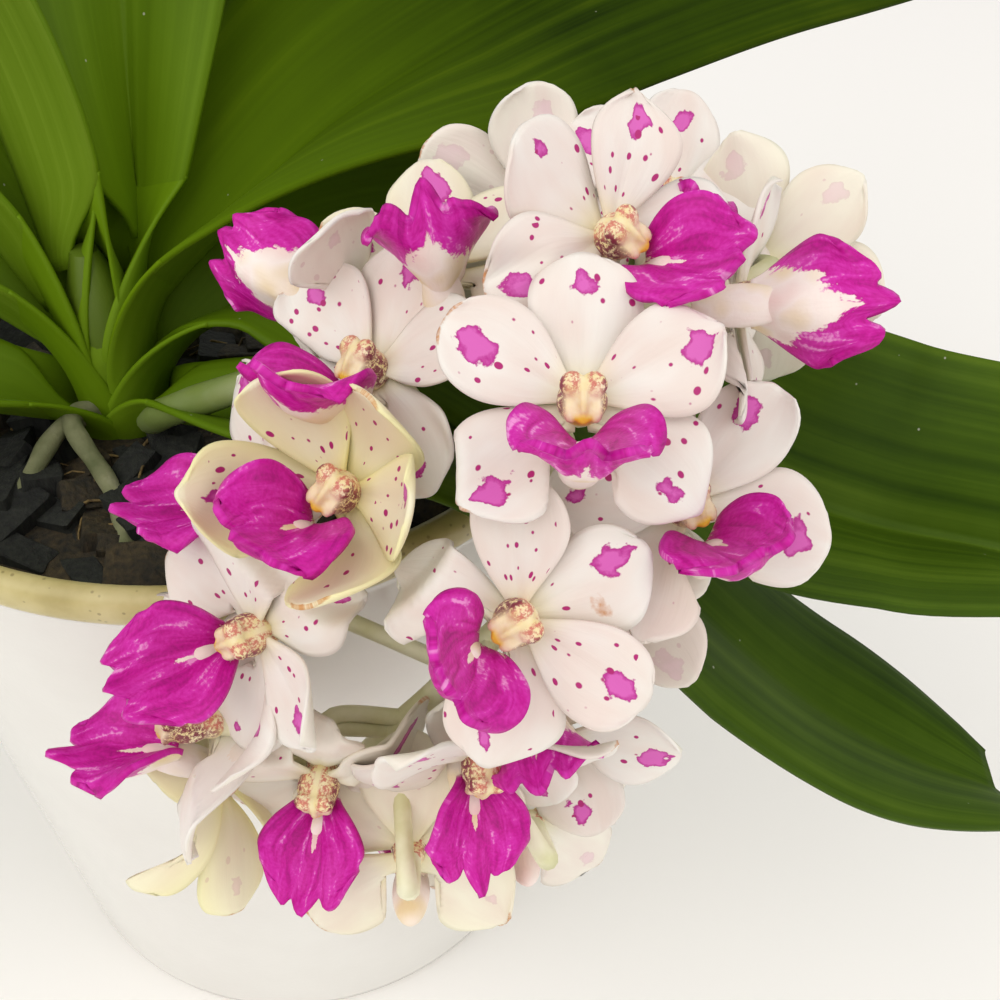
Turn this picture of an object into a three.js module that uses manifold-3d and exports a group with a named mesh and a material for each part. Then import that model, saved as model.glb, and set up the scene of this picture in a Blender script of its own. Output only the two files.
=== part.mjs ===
// Potted foxtail orchid: a dense hanging spray of spotted flowers over strap leaves in a round pot.
// Millimetres, +Z up. The origin is the centre of the pot's flat bottom and the spray hangs toward -Y.

import * as THREE from 'three';
import { mergeVertices } from 'three/addons/utils/BufferGeometryUtils.js';
import Module from 'manifold-3d';

const wasm = await Module();
wasm.setup();

// Clearance between neighbouring pieces
const GAP = 0.3;
const CUT_GAP = 0.32;
const TOUCH = 0.001;

// Pot
const POT_HEIGHT = 150;
const POT_BASE_RADIUS = 58;
const POT_WALL_RADIUS = 65;
const POT_RIM_RADIUS = 66.4;
const POT_RIM_BAND = 5;
const POT_BEVEL = 1.6;
const POT_WALL = 4;
const POT_FLOOR = 6;
const POT_SIDES = 28;
const DRAIN_HOLES = 3;
const DRAIN_RADIUS = 5;
const DRAIN_CIRCLE = 28;
const DRAIN_SIDES = 12;

// Planting medium
const MEDIUM_TOP = 136;
const MEDIUM_BUMP = 2.2;
const MEDIUM_SHOULDER = 2;
const MEDIUM_RINGS = [0.72, 0.4, 0];
const MEDIUM_SIDES = 18;
const BARK_CHIPS = 7;
const CHIP_LONG = 15;
const CHIP_WIDE = 9;
const CHIP_HIGH = 5;
const CHIP_REACH = 49;
const CHIP_TURN = 2.4;

// Stem and aerial roots
const STEM_X = -17;
const STEM_Y = -10;
const STEM_FOOT = 112;
const STEM_TOP = 168;
const STEM_RADIUS = 7;
const STEM_SIDES = 10;
const STEM_OUTLINE = [[0.7, STEM_FOOT], [1, 138], [0.8, 156], [0.35, STEM_TOP]];
const ROOT_RADIUS = 1.8;
const ROOT_THINNING = 0.25;
const ROOT_ROWS = 6;
const ROOT_SIDES = 5;
const ROOTS = [
  [[-18, -13, 139], [-24, -23, 142], [-28, -34, 138.5], [-31, -44, 136]],
  [[-19, -8, 138], [-30, -6, 142], [-41, 1, 138.5], [-51, 6, 136.5]],
  [[-15, -6, 138], [-9, 10, 142], [-11, 28, 138.5], [-3, 44, 136.5]],
  [[-19, -14, 139], [-22, -22, 143], [-14, -33, 138], [-9, -46, 136]],
];

// Leaves: half width, fold angles in degrees at even steps from the stem to the tip, how far the
// two tip lobes reach apart, the way the blade's width runs at both ends, and midline points
const LEAF_ROWS = 11;
const LEAF_THICK = 1.8;
const LEAVES = [
  { name: 'leaf_front_right', half: 17, fold: [58, 14, 8, 16], tip: [7, -3],
    wide: [[-0.4, -0.8, 0.1], [-0.2, -1, 0]],
    path: [[-12, -15.5, 139.5], [8, -28, 147], [28, -37, 153], [47, -42, 154], [64, -44.5, 142],
      [79, -48, 125], [97, -53, 109], [115, -57, 99], [132, -59, 92]] },
  { name: 'leaf_right', half: 30, fold: [58, 23, 10, 30, 46, 36, 24], tip: [8, -4],
    wide: [[0, -1, -0.3], [-0.1, -1, -0.3]],
    path: [[-11, -8, 146], [13, -3, 156.5], [39, -10, 163], [61, -20, 156.5], [82, -30, 141],
      [104, -37, 135], [127, -41, 132], [157, -43, 122], [189, -43, 105]] },
  { name: 'leaf_upper_right', half: 30, fold: [54, 16, 14, 12], tip: [10, -5],
    wide: [[0.15, -0.85, -0.25], [0.45, -0.45, -0.8]],
    path: [[-10.5, -8, 154.5], [5, -2, 168.5], [26, 8, 183], [56, 25, 194], [90, 44, 201],
      [126, 62, 206], [160, 77, 203]] },
  { name: 'leaf_middle', half: 16.5, fold: [58, 30, 18, 18], tip: [6, -3],
    wide: [[0.9, 0.4, 0], [1, -0.1, 0]],
    path: [[-10, -3, 166], [-8.5, 8, 191], [-5.5, 22, 216], [-2, 42, 240], [3, 66, 258],
      [9, 92, 264]] },
  { name: 'leaf_low_left', half: 18, fold: [58, 20, 14, 14], tip: [7, -4],
    wide: [[0, -1, 0.1], [0, -1, 0.15]],
    path: [[-24, -16, 139], [-46, -26, 151], [-73, -33, 153], [-103, -37, 141], [-131, -37, 122],
      [-155, -34, 100]] },
  { name: 'leaf_left', half: 21, fold: [58, 20, 14, 14], tip: [7, -4],
    wide: [[0, -1, 0.2], [0, -1, 0.15]],
    path: [[-24, -11, 149], [-48, -9, 167], [-81, -3, 178], [-119, 7, 175], [-155, 19, 160],
      [-183, 29, 141]] },
  { name: 'leaf_middle_left', half: 23, fold: [58, 18, 12, 12], tip: [8, -4],
    wide: [[0, -0.9, 0.3], [0, -0.9, 0.3]],
    path: [[-24.5, -10.5, 157], [-44, 0, 181], [-75, 16, 200], [-113, 32, 206], [-153, 46, 197],
      [-185, 58, 180]] },
  { name: 'leaf_upper_left', half: 25, fold: [58, 18, 12, 12], tip: [6, -3],
    wide: [[0.3, -0.9, 0.3], [0.6, 0, 0.6]],
    path: [[-22, -10, 164], [-33.5, 4, 195], [-52, 22, 221], [-79, 45, 241], [-110, 69, 248],
      [-140, 91, 243]] },
];

// Flower stem: points from the leaf axil over the front of the pot and down
const RACHIS = [[-10, -19, 141], [-3, -27, 150], [11, -33, 160], [28, -37, 168], [44, -41, 171],
  [54, -49, 168], [56, -58, 161], [51, -66, 151], [41, -72, 141], [30, -75, 129], [20, -77, 116]];
const RACHIS_RADIUS = 2.6;
const RACHIS_TIP_RADIUS = 1.6;
const RACHIS_ROWS = 16;
const RACHIS_SIDES = 6;
const PEDICEL_RADIUS = 1.25;
const PEDICEL_SIDES = 4;
const PEDICEL_STEPS = 2;
const PEDICEL_LEAD = 7;
const PEDICEL_STRAIGHT = 7;

// Flowers: distance along the flower stem, angle around it, reach from it, how far the face leans
// to the stem's tip, swings around the stem and rolls about its own axis, and for a cupped flower
// how far its petals close (millimetres and degrees)
const BLOOMS = {
  bloom_front: [87, -3, 29, 3, 3, -12],
  bloom_upper_front: [78, -37, 29, 33, 18, 17],
  bloom_left_front: [62, 13, 21, -13, -29, -108],
  bloom_left_cupped: [60, 38, 31, -1, -40, -127, 43],
  bloom_lower_front: [105, 2, 25, -1, -3, -32],
  bloom_left_side: [128, 51, 28, 16, -35, -21],
  bloom_left_low: [142, 48, 26, 17, 2, 7],
  bloom_low_front: [139, 14, 13, 21, -47, 38],
  bloom_low_middle: [122, -35, 15, 24, -15, 35],
  bloom_right_front: [93, -40, 21, -5, 32, 30],
  bloom_right_side: [83, -64, 29, 28, -19, -72],
  bloom_top_left: [67, -28, 18, -1, -6, -63],
  bloom_left_back: [55, -25, 12, -49, -75, -111],
  bloom_left_inner: [46, 43, 24, -29, -60, -143],
  bloom_top_right: [81, -91, 35, -20, -58, 93],
  bloom_top_back: [69, -92, 22, -38, -65, 80],
  bloom_tip_left: [151, 43, 18, 77, 70, -121, 17],
  bloom_tip_back: [141, -57, 15, 15, -137, -40],
  bloom_low_right: [118, -86, 15, 10, 65, -115],
  bloom_right_low: [102, -67, 8, -11, -88, 47],
  bloom_low_back: [131, -101, 22, 16, -104, -35],
  bloom_upper_back: [76, -87, 30, 8, 70, -58],
};

// Flower parts in the flower's own frame: x right, y to the upper sepal, z to the front
const SEGMENTS = [
  { angle: 90, length: 15.5, half: 6.2, lift: -0.75, cup: -0.3, sepal: true },
  { angle: 28, length: 16, half: 5.9, lift: 0.5, cup: 1.1, sepal: false },
  { angle: 152, length: 16, half: 5.9, lift: 0.5, cup: 1.1, sepal: false },
  { angle: -42, length: 16.5, half: 6.8, lift: -0.75, cup: -0.3, sepal: true },
  { angle: -138, length: 16.5, half: 6.8, lift: -0.75, cup: -0.3, sepal: true },
];
const SEGMENT_START = 1.2;
const SEGMENT_THICK = 0.9;
const SEGMENT_ARCH = 2.4;
const SEGMENT_WAVE = 2.2;
const SEGMENT_CLAW = 0.16;
const SEGMENT_WIDEST = 0.62;
const SEGMENT_ROUND = 0.41;
const PETAL_ROWS = [0, 0.42, 0.78, 1];
const SEPAL_ROWS = [0, 0.48, 0.84, 1];

// Column: radius and height of its outline from the flower's back to its blunt tip
const COLUMN_RADIUS = 3.1;
const COLUMN_LENGTH = 5.4;
const COLUMN_FOOT = 1.9;
const COLUMN_SIDES = 5;
const FLOWER_BACK = 2.4;

// Lip: a blade that runs forward with its sides curled up, over a closed sac
const LIP_LENGTH = 15.2;
const LIP_HALF_WIDTH = 7.6;
const LIP_BASE = 2.6;
const LIP_WIDEST = 0.6;
const LIP_START = 1.6;
const LIP_DROP = 5.5;
const LIP_SLOPE = 2.4;
const LIP_CURL = 4.8;
const LIP_FINGER = 0.13;
const LIP_THICK = 1;
const LIP_ROWS = [0, 0.4, 0.78, 1];
const LIP_COLUMN = 0.4;
const SAC_SIZE = [2.6, 2, 6];
const SAC_PLACE = [0, -7.1, 0.6];
const SAC_TILT = -0.2;
const SAC_ROOM = 1.1;

// Tucking rule: where two flowers crowd, the one with the longer reach lies over the other
const TUCK_RADIUS = 17.5;
const TUCK_EDGE = 6;
const TUCK_GAP = 1.6;
const TUCK_SLOPE = 1.1;
const TUCK_FACING = 0.35;

const PALETTE = {
  glazed_pot: [0xf2efe8, 0.25],
  fibre_medium: [0x2b2a20, 0.9],
  stem_root: [0x9aa08c, 0.6],
  leaf_blade: [0x4a5a18, 0.4],
  flower_stalk: [0xb7bf8c, 0.55],
  petal_flesh: [0xf3ebe4, 0.5],
  lip_flesh: [0xb81a8f, 0.45],
};

const vec = (values) => new THREE.Vector3(...values);
const radians = THREE.MathUtils.degToRad;

// Repeatable random numbers
function seeded(seed) {
  let state = seed * 7919 + 17;
  return () => {
    state = (state * 1103515245 + 12345) % 2147483648;
    return state / 2147483648;
  };
}

// Geometry and booleans
function toManifold(geometry) {
  const bare = geometry.index ? geometry.toNonIndexed() : geometry.clone();
  for (const name of Object.keys(bare.attributes)) {
    if (name !== 'position') bare.deleteAttribute(name);
  }
  const welded = mergeVertices(bare, 1e-4);
  const vertProperties = new Float32Array(welded.attributes.position.array);
  const triVerts = new Uint32Array(welded.index.array);
  return new wasm.Manifold(new wasm.Mesh({ numProp: 3, vertProperties, triVerts }));
}

function toGeometry(solid) {
  const mesh = solid.getMesh();
  const positions = [];
  for (let i = 0; i < mesh.vertProperties.length; i += mesh.numProp) {
    positions.push(...mesh.vertProperties.slice(i, i + 3));
  }
  const geometry = indexed(positions, Array.from(mesh.triVerts));
  geometry.computeVertexNormals();
  return geometry;
}

function indexed(positions, faces) {
  const geometry = new THREE.BufferGeometry();
  geometry.setAttribute('position', new THREE.Float32BufferAttribute(positions, 3));
  geometry.setIndex(faces);
  return geometry;
}

function fuse(geometries) {
  return geometries.map(toManifold).reduce((all, next) => all.add(next));
}

function largestBody(solid) {
  return solid.decompose().reduce((best, next) => (next.volume() > best.volume() ? next : best));
}

function boxesMeet(a, b) {
  const boxA = a.boundingBox();
  const boxB = b.boundingBox();
  return [0, 1, 2].every((k) => boxA.min[k] < boxB.max[k] && boxB.min[k] < boxA.max[k]);
}

// The solid trimmed clear of its neighbours, without crumbs
function clearOf(solid, cutters) {
  const near = cutters.filter((cut) => boxesMeet(cut, solid));
  return largestBody(near.reduce((rest, cut) => rest.subtract(cut), solid));
}

function mesh(name, solid, slot) {
  const [color, roughness] = PALETTE[slot];
  const material = new THREE.MeshStandardMaterial({ color, roughness, metalness: 0 });
  material.name = slot;
  const part = new THREE.Mesh(toGeometry(solid), material);
  part.name = name;
  return part;
}

// A closed sheet: a grid of mid-surface points given thickness along its own normals
function sheet(rows, columns, pointAt, thickness) {
  const middle = rows.map((s) => columns.map((t) => pointAt(s, t)));
  const last = rows.length - 1;
  const edge = columns.length - 1;
  const normalAt = (i, j) => {
    const along = middle[Math.min(i + 1, last)][j].clone().sub(middle[Math.max(i - 1, 0)][j]);
    const across = middle[i][Math.min(j + 1, edge)].clone().sub(middle[i][Math.max(j - 1, 0)]);
    return across.cross(along).normalize();
  };
  const positions = [];
  for (const side of [1, -1]) {
    middle.forEach((row, i) => row.forEach((point, j) => {
      positions.push(...point.clone().addScaledVector(normalAt(i, j), side * thickness / 2));
    }));
  }
  const count = rows.length * columns.length;
  const at = (i, j) => i * columns.length + j;
  const faces = [];
  for (let i = 0; i < last; i += 1) {
    for (let j = 0; j < edge; j += 1) {
      const [a, b, c, d] = [at(i, j), at(i, j + 1), at(i + 1, j + 1), at(i + 1, j)];
      faces.push(a, b, c, a, c, d);
      faces.push(count + a, count + c, count + b, count + a, count + d, count + c);
    }
  }
  const rim = [];
  for (let j = 0; j < edge; j += 1) rim.push(at(0, j));
  for (let i = 0; i < last; i += 1) rim.push(at(i, edge));
  for (let j = edge; j > 0; j -= 1) rim.push(at(last, j));
  for (let i = last; i > 0; i -= 1) rim.push(at(i, 0));
  rim.forEach((from, k) => {
    const to = rim[(k + 1) % rim.length];
    faces.push(from, count + to, to, from, count + from, count + to);
  });
  return indexed(positions, faces);
}

// A smooth line through points
function smoothLine(points) {
  return new THREE.CatmullRomCurve3(points, false, 'catmullrom', 0.5);
}

// A closed tube with a radius that may change along a smooth line
function taperedTube(points, radiusAt, rows, sides) {
  const curve = smoothLine(points);
  const frames = curve.computeFrenetFrames(rows, false);
  const positions = [];
  for (let i = 0; i <= rows; i += 1) {
    const centre = curve.getPointAt(i / rows);
    const radius = radiusAt(i / rows);
    for (let k = 0; k < sides; k += 1) {
      const angle = (2 * Math.PI * k) / sides;
      const rim = centre.clone()
        .addScaledVector(frames.normals[i], radius * Math.cos(angle))
        .addScaledVector(frames.binormals[i], radius * Math.sin(angle));
      positions.push(rim.x, rim.y, rim.z);
    }
  }
  positions.push(...curve.getPointAt(0), ...curve.getPointAt(1));
  const faces = [];
  const at = (i, k) => i * sides + (k % sides);
  const startCentre = (rows + 1) * sides;
  for (let k = 0; k < sides; k += 1) {
    for (let i = 0; i < rows; i += 1) {
      faces.push(at(i, k), at(i, k + 1), at(i + 1, k + 1));
      faces.push(at(i, k), at(i + 1, k + 1), at(i + 1, k));
    }
    faces.push(startCentre, at(0, k + 1), at(0, k));
    faces.push(startCentre + 1, at(rows, k), at(rows, k + 1));
  }
  return indexed(positions, faces);
}

// A solid turned about the Z axis from radius and height pairs
function turned(profile, sides) {
  const lathe = new THREE.LatheGeometry(profile.map(([r, z]) => new THREE.Vector2(r, z)), sides);
  lathe.rotateX(Math.PI / 2);
  return lathe;
}

// Pot
const POT_INNER_TOP = POT_RIM_RADIUS - POT_WALL;
const POT_INNER_FOOT = POT_BASE_RADIUS - POT_WALL;

function buildPot() {
  const rimLow = POT_HEIGHT - POT_RIM_BAND;
  const profile = [
    [0, 0],
    [POT_BASE_RADIUS - POT_BEVEL, 0],
    [POT_BASE_RADIUS, POT_BEVEL],
    [POT_WALL_RADIUS, rimLow - POT_BEVEL],
    [POT_RIM_RADIUS, rimLow],
    [POT_RIM_RADIUS, POT_HEIGHT - 1],
    [POT_RIM_RADIUS - 1, POT_HEIGHT],
    [POT_INNER_TOP, POT_HEIGHT],
    [POT_INNER_FOOT, POT_FLOOR],
    [0, POT_FLOOR],
  ];
  return drainHoles().reduce((pot, hole) => pot.subtract(hole), toManifold(turned(profile, POT_SIDES)));
}

function drainHoles() {
  return Array.from({ length: DRAIN_HOLES }, (_, k) => {
    const angle = (2 * Math.PI * (k + 0.5)) / DRAIN_HOLES;
    const hole = new THREE.CylinderGeometry(DRAIN_RADIUS, DRAIN_RADIUS, 4 * POT_FLOOR, DRAIN_SIDES);
    hole.rotateX(Math.PI / 2);
    hole.translate(DRAIN_CIRCLE * Math.cos(angle), DRAIN_CIRCLE * Math.sin(angle), 0);
    return toManifold(hole);
  });
}

// The space the pot takes with its filling, for trimming what hangs over its rim
function potSleeve() {
  const radius = POT_RIM_RADIUS + CUT_GAP;
  const top = POT_HEIGHT + CUT_GAP;
  return toManifold(turned([[0, -1], [radius, -1], [radius, top], [0, top]], POT_SIDES));
}

// Planting medium: a plug that follows the pot's taper, with a lumpy top and bark chips bedded in it
function plugRadius(height) {
  const share = (height - POT_FLOOR) / (POT_HEIGHT - POT_FLOOR);
  const inner = POT_INNER_FOOT + (POT_INNER_TOP - POT_INNER_FOOT) * share;
  return inner * Math.cos(Math.PI / POT_SIDES) - GAP;
}

function mediumHeight(radius, angle) {
  const lumps = Math.sin(3 * angle + 0.2 * radius) + Math.cos(5 * angle - 0.33 * radius);
  return MEDIUM_TOP + (MEDIUM_BUMP / 2) * lumps;
}

function mediumPlug() {
  const foot = POT_FLOOR + GAP;
  const shoulder = MEDIUM_TOP - MEDIUM_SHOULDER;
  const radius = plugRadius(shoulder);
  const rings = MEDIUM_RINGS.map((share) => [radius * share, MEDIUM_TOP]);
  const profile = [[0, foot], [plugRadius(foot), foot], [radius, shoulder], ...rings];
  const plug = turned(profile, MEDIUM_SIDES);
  const position = plug.attributes.position;
  for (let i = 0; i < position.count; i += 1) {
    if (position.getZ(i) < MEDIUM_TOP) continue;
    const [x, y] = [position.getX(i), position.getY(i)];
    position.setZ(i, mediumHeight(Math.hypot(x, y), Math.atan2(y, x)));
  }
  return plug;
}

function barkChips() {
  const random = seeded(5);
  const cut = () => 0.6 + 0.5 * random();
  const tilt = () => 0.5 * (random() - 0.5);
  return Array.from({ length: BARK_CHIPS }, (_, k) => {
    const chip = new THREE.BoxGeometry(CHIP_LONG * cut(), CHIP_WIDE * cut(), CHIP_HIGH);
    chip.rotateX(tilt());
    chip.rotateY(tilt());
    chip.rotateZ(Math.PI * random());
    const reach = CHIP_REACH * Math.sqrt((k + 0.5) / BARK_CHIPS);
    const angle = CHIP_TURN * k;
    chip.translate(reach * Math.cos(angle), reach * Math.sin(angle), mediumHeight(reach, angle) + 0.8);
    return chip;
  });
}

// Stem with its aerial roots
function stemGeometries(grow) {
  const swelling = STEM_OUTLINE.map(([share, height]) => [STEM_RADIUS * share + grow, height]);
  swelling[0][1] -= grow;
  swelling[STEM_OUTLINE.length - 1][1] += grow;
  const stem = turned([[0, STEM_FOOT - grow], ...swelling, [0, STEM_TOP + grow]], STEM_SIDES);
  stem.translate(STEM_X, STEM_Y, 0);
  const radiusAt = (s) => ROOT_RADIUS * (1 - ROOT_THINNING * s) + grow;
  const roots = ROOTS.map((path) => taperedTube(path.map(vec), radiusAt, ROOT_ROWS, ROOT_SIDES));
  return [stem, ...roots];
}

// Leaves
function leafHalfWidth(leaf, s) {
  const base = 0.42 + 0.58 * Math.sin((Math.PI / 2) * Math.min(1, s / 0.35));
  const tip = s < 0.8 ? 1 : 1 - 0.62 * ((s - 0.8) / 0.2) ** 2;
  return leaf.half * base * tip;
}

function leafFold(leaf, s) {
  const place = s * (leaf.fold.length - 1);
  const step = Math.min(leaf.fold.length - 2, Math.floor(place));
  return radians(THREE.MathUtils.lerp(leaf.fold[step], leaf.fold[step + 1], place - step));
}

function leafGeometry(leaf, grow) {
  const curve = smoothLine(leaf.path.map(vec));
  const [wideStart, wideEnd] = leaf.wide.map(vec);
  const pointAt = (s, t) => {
    const along = curve.getTangentAt(s);
    const wide = wideStart.clone().lerp(wideEnd, s * s);
    wide.addScaledVector(along, -wide.dot(along)).normalize();
    const up = wide.clone().cross(along);
    if (up.z < 0) up.negate();
    const fold = leafFold(leaf, s);
    const half = leafHalfWidth(leaf, s) * t;
    const lobe = s === 1 ? (t > 0 ? leaf.tip[0] : leaf.tip[1]) * Math.abs(t) : 0;
    return curve.getPointAt(s)
      .addScaledVector(wide, half * Math.cos(fold))
      .addScaledVector(up, Math.abs(half) * Math.sin(fold))
      .addScaledVector(along, lobe);
  };
  const rows = Array.from({ length: LEAF_ROWS + 1 }, (_, i) => i / LEAF_ROWS);
  const edge = 1 + grow / leaf.half;
  return sheet(rows, [-edge, 0, edge], pointAt, LEAF_THICK + 2 * grow);
}

// Where each flower sits on the flower stem and how it faces
const rachisCurve = smoothLine(RACHIS.map(vec));
const rachisLength = rachisCurve.getLength();

function bloomFrame([along, around, reach, lean, swing, roll, close = 0]) {
  const at = Math.min(1, along / rachisLength);
  const tangent = rachisCurve.getTangentAt(at);
  const front = vec([0, -1, 1]);
  front.addScaledVector(tangent, -front.dot(tangent)).normalize();
  const radial = front.clone().applyAxisAngle(tangent, radians(around));
  const centre = rachisCurve.getPointAt(at).addScaledVector(radial, reach);
  const z = radial.clone().applyAxisAngle(tangent, radians(swing))
    .multiplyScalar(Math.cos(radians(lean)))
    .addScaledVector(tangent, Math.sin(radians(lean)));
  const y = tangent.clone().negate();
  y.addScaledVector(z, -y.dot(z)).normalize().applyAxisAngle(z, radians(roll));
  const x = y.clone().cross(z);
  const matrix = new THREE.Matrix4().makeBasis(x, y, z).setPosition(centre);
  return { at, reach, close: radians(close), facing: z, matrix, inverse: matrix.clone().invert() };
}

// The mid-surface of one petal or sepal in the flower's own frame
function segmentPoint(segment, close, s, t) {
  const angle = radians(segment.angle);
  const opening = Math.sin((Math.PI / 2) * Math.min(1, s / SEGMENT_WIDEST)) ** 1.2;
  const swell = SEGMENT_CLAW + (1 - SEGMENT_CLAW) * opening;
  const beyond = Math.max(0, s - SEGMENT_WIDEST) / SEGMENT_ROUND;
  const half = segment.half * swell * Math.sqrt(1 - beyond ** 2) * t;
  const run = segment.length * s * (1 - 0.06 * s * s * t * t);
  const reach = SEGMENT_START + run * Math.cos(close * s);
  let x = Math.cos(angle) * reach - Math.sin(angle) * half;
  const y = Math.sin(angle) * reach + Math.cos(angle) * half;
  const arch = SEGMENT_ARCH * Math.sin(SEGMENT_WAVE * s) * s + segment.cup * t * t * s;
  const besideSac = segment.angle < 0 && y < -SAC_SIZE[0] - 0.4;
  if (besideSac) x = Math.sign(x || Math.cos(angle)) * Math.max(Math.abs(x), SAC_SIZE[0] + SAC_ROOM);
  return vec([x, y, segment.lift + arch + run * Math.sin(close * s)]);
}

function tuckUnder(point, overFrames) {
  for (const over of overFrames) {
    const local = point.clone().applyMatrix4(over.inverse);
    const reach = Math.hypot(local.x, local.y);
    const ceiling = -TUCK_GAP + TUCK_SLOPE * Math.max(0, reach - TUCK_RADIUS);
    const tooFar = reach > TUCK_RADIUS + TUCK_EDGE || local.z > TUCK_RADIUS;
    if (tooFar || local.z < ceiling) continue;
    local.z = ceiling;
    point.copy(local.applyMatrix4(over.matrix));
  }
  return point;
}

function segmentSheet(segment, frame, overFrames, grow) {
  const pointAt = (s, t) => {
    const point = segmentPoint(segment, frame.close, s, t).applyMatrix4(frame.matrix);
    return tuckUnder(point, overFrames);
  };
  const edge = 1 + grow / segment.half;
  const columns = segment.sepal ? [-edge, edge] : [-edge, 0, edge];
  const rows = segment.sepal ? SEPAL_ROWS : PETAL_ROWS;
  return sheet(rows, columns, pointAt, SEGMENT_THICK + 2 * grow);
}

function columnGeometry(frame, grow) {
  const column = turned([
    [0, -FLOWER_BACK - grow],
    [COLUMN_FOOT + grow, -FLOWER_BACK - grow],
    [COLUMN_RADIUS + grow, 1.6],
    [COLUMN_RADIUS * 0.85 + grow, COLUMN_LENGTH * 0.8],
    [0, COLUMN_LENGTH + grow],
  ], COLUMN_SIDES);
  column.rotateZ(Math.PI / 2 - Math.PI / COLUMN_SIDES);
  return column.applyMatrix4(frame.matrix);
}

function perianthSolid(frame, overFrames, grow) {
  const segments = SEGMENTS.map((segment) => segmentSheet(segment, frame, overFrames, grow));
  return fuse([columnGeometry(frame, grow), ...segments]);
}

// Lip with its sac
function lipPoint(s, t) {
  const opening = Math.sin((Math.PI / 2) * Math.min(1, s / LIP_WIDEST)) ** 1.5;
  const narrowing = 1 - 0.5 * (Math.max(0, s - LIP_WIDEST) / (1 - LIP_WIDEST)) ** 2;
  const half = (LIP_BASE + (LIP_HALF_WIDTH - LIP_BASE) * opening) * narrowing;
  const curl = LIP_CURL * Math.sin(Math.PI * Math.min(1, s + 0.15)) * Math.abs(t) ** 1.6;
  const finger = 1 + LIP_FINGER * s ** 4 * (1 - Math.abs(t));
  return vec([half * t, curl - LIP_DROP - LIP_SLOPE * s, LIP_START + LIP_LENGTH * s * finger]);
}

function lipSolid(frame, grow) {
  const edge = 1 + grow / LIP_HALF_WIDTH;
  const columns = [-edge, -LIP_COLUMN, LIP_COLUMN, edge];
  const blade = sheet(LIP_ROWS, columns, lipPoint, LIP_THICK + 2 * grow);
  const sac = new THREE.SphereGeometry(1, 5, 4);
  sac.scale(...SAC_SIZE.map((half) => half + grow));
  sac.rotateX(SAC_TILT);
  sac.translate(...SAC_PLACE);
  return fuse([blade, sac].map((geometry) => geometry.applyMatrix4(frame.matrix)));
}

// The flower stem with one short stalk to the back of each flower
function stalkSolid(frames, grow) {
  const radiusAt = (s) => THREE.MathUtils.lerp(RACHIS_RADIUS, RACHIS_TIP_RADIUS, s) + grow;
  const main = taperedTube(RACHIS.map(vec), radiusAt, RACHIS_ROWS, RACHIS_SIDES);
  const stalks = frames.map((frame) => {
    const start = rachisCurve.getPointAt(Math.max(0, frame.at - PEDICEL_LEAD / rachisLength));
    const straight = Math.min(PEDICEL_STRAIGHT, 0.45 * frame.reach);
    const before = vec([0, 0, -FLOWER_BACK - straight]).applyMatrix4(frame.matrix);
    const end = vec([0, 0, -FLOWER_BACK - GAP]).applyMatrix4(frame.matrix);
    return taperedTube([start, before, end], () => PEDICEL_RADIUS + grow, PEDICEL_STEPS, PEDICEL_SIDES);
  });
  return fuse([main, ...stalks]);
}

// Flowers, the longest reach first: lips are trimmed clear of what stands there, then petals
function modelBlooms() {
  const blooms = Object.entries(BLOOMS).map(([name, place]) => ({ name, frame: bloomFrame(place) }));
  blooms.sort((a, b) => b.frame.reach - a.frame.reach);
  blooms.forEach((bloom, k) => {
    const facesAlike = (other) => other.facing.dot(bloom.frame.facing) > TUCK_FACING;
    const over = blooms.slice(0, k).map((other) => other.frame).filter(facesAlike);
    bloom.lip = lipSolid(bloom.frame, 0);
    bloom.lipCut = lipSolid(bloom.frame, CUT_GAP);
    bloom.petals = perianthSolid(bloom.frame, over, 0);
    bloom.petalCut = perianthSolid(bloom.frame, over, CUT_GAP);
  });
  return blooms;
}

function trimBlooms(blooms, fixedCuts) {
  const lipCuts = blooms.map((bloom) => bloom.lipCut);
  const petalCuts = blooms.map((bloom) => bloom.petalCut);
  blooms.forEach((bloom, k) => {
    bloom.lip = clearOf(bloom.lip, [...fixedCuts, ...lipCuts.slice(0, k)]);
    bloom.petals = clearOf(bloom.petals, [...fixedCuts, ...lipCuts, ...petalCuts.slice(0, k)]);
  });
}

// Petals that still touch after the trimming are cleared by shifting the upper one to and fro
function separatePetals(blooms) {
  blooms.forEach((bloom, k) => {
    for (const other of blooms.slice(0, k)) {
      if (!boxesMeet(other.petals, bloom.petals)) continue;
      if (other.petals.intersect(bloom.petals).volume() < TOUCH) continue;
      const away = other.frame.facing.clone().multiplyScalar(GAP);
      const shifted = [1, 0, -1].map((side) => other.petals.translate(away.toArray().map((v) => v * side)));
      bloom.petals = clearOf(bloom.petals, shifted);
    }
  });
}

const stem = fuse(stemGeometries(0));
const stemCut = fuse(stemGeometries(CUT_GAP));
const leafCuts = LEAVES.map((leaf) => toManifold(leafGeometry(leaf, CUT_GAP)));
const blooms = modelBlooms();
const frames = blooms.map((bloom) => bloom.frame);
const stalkCut = stalkSolid(frames, CUT_GAP);
trimBlooms(blooms, [potSleeve(), stalkCut, ...leafCuts]);
separatePetals(blooms);

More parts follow.
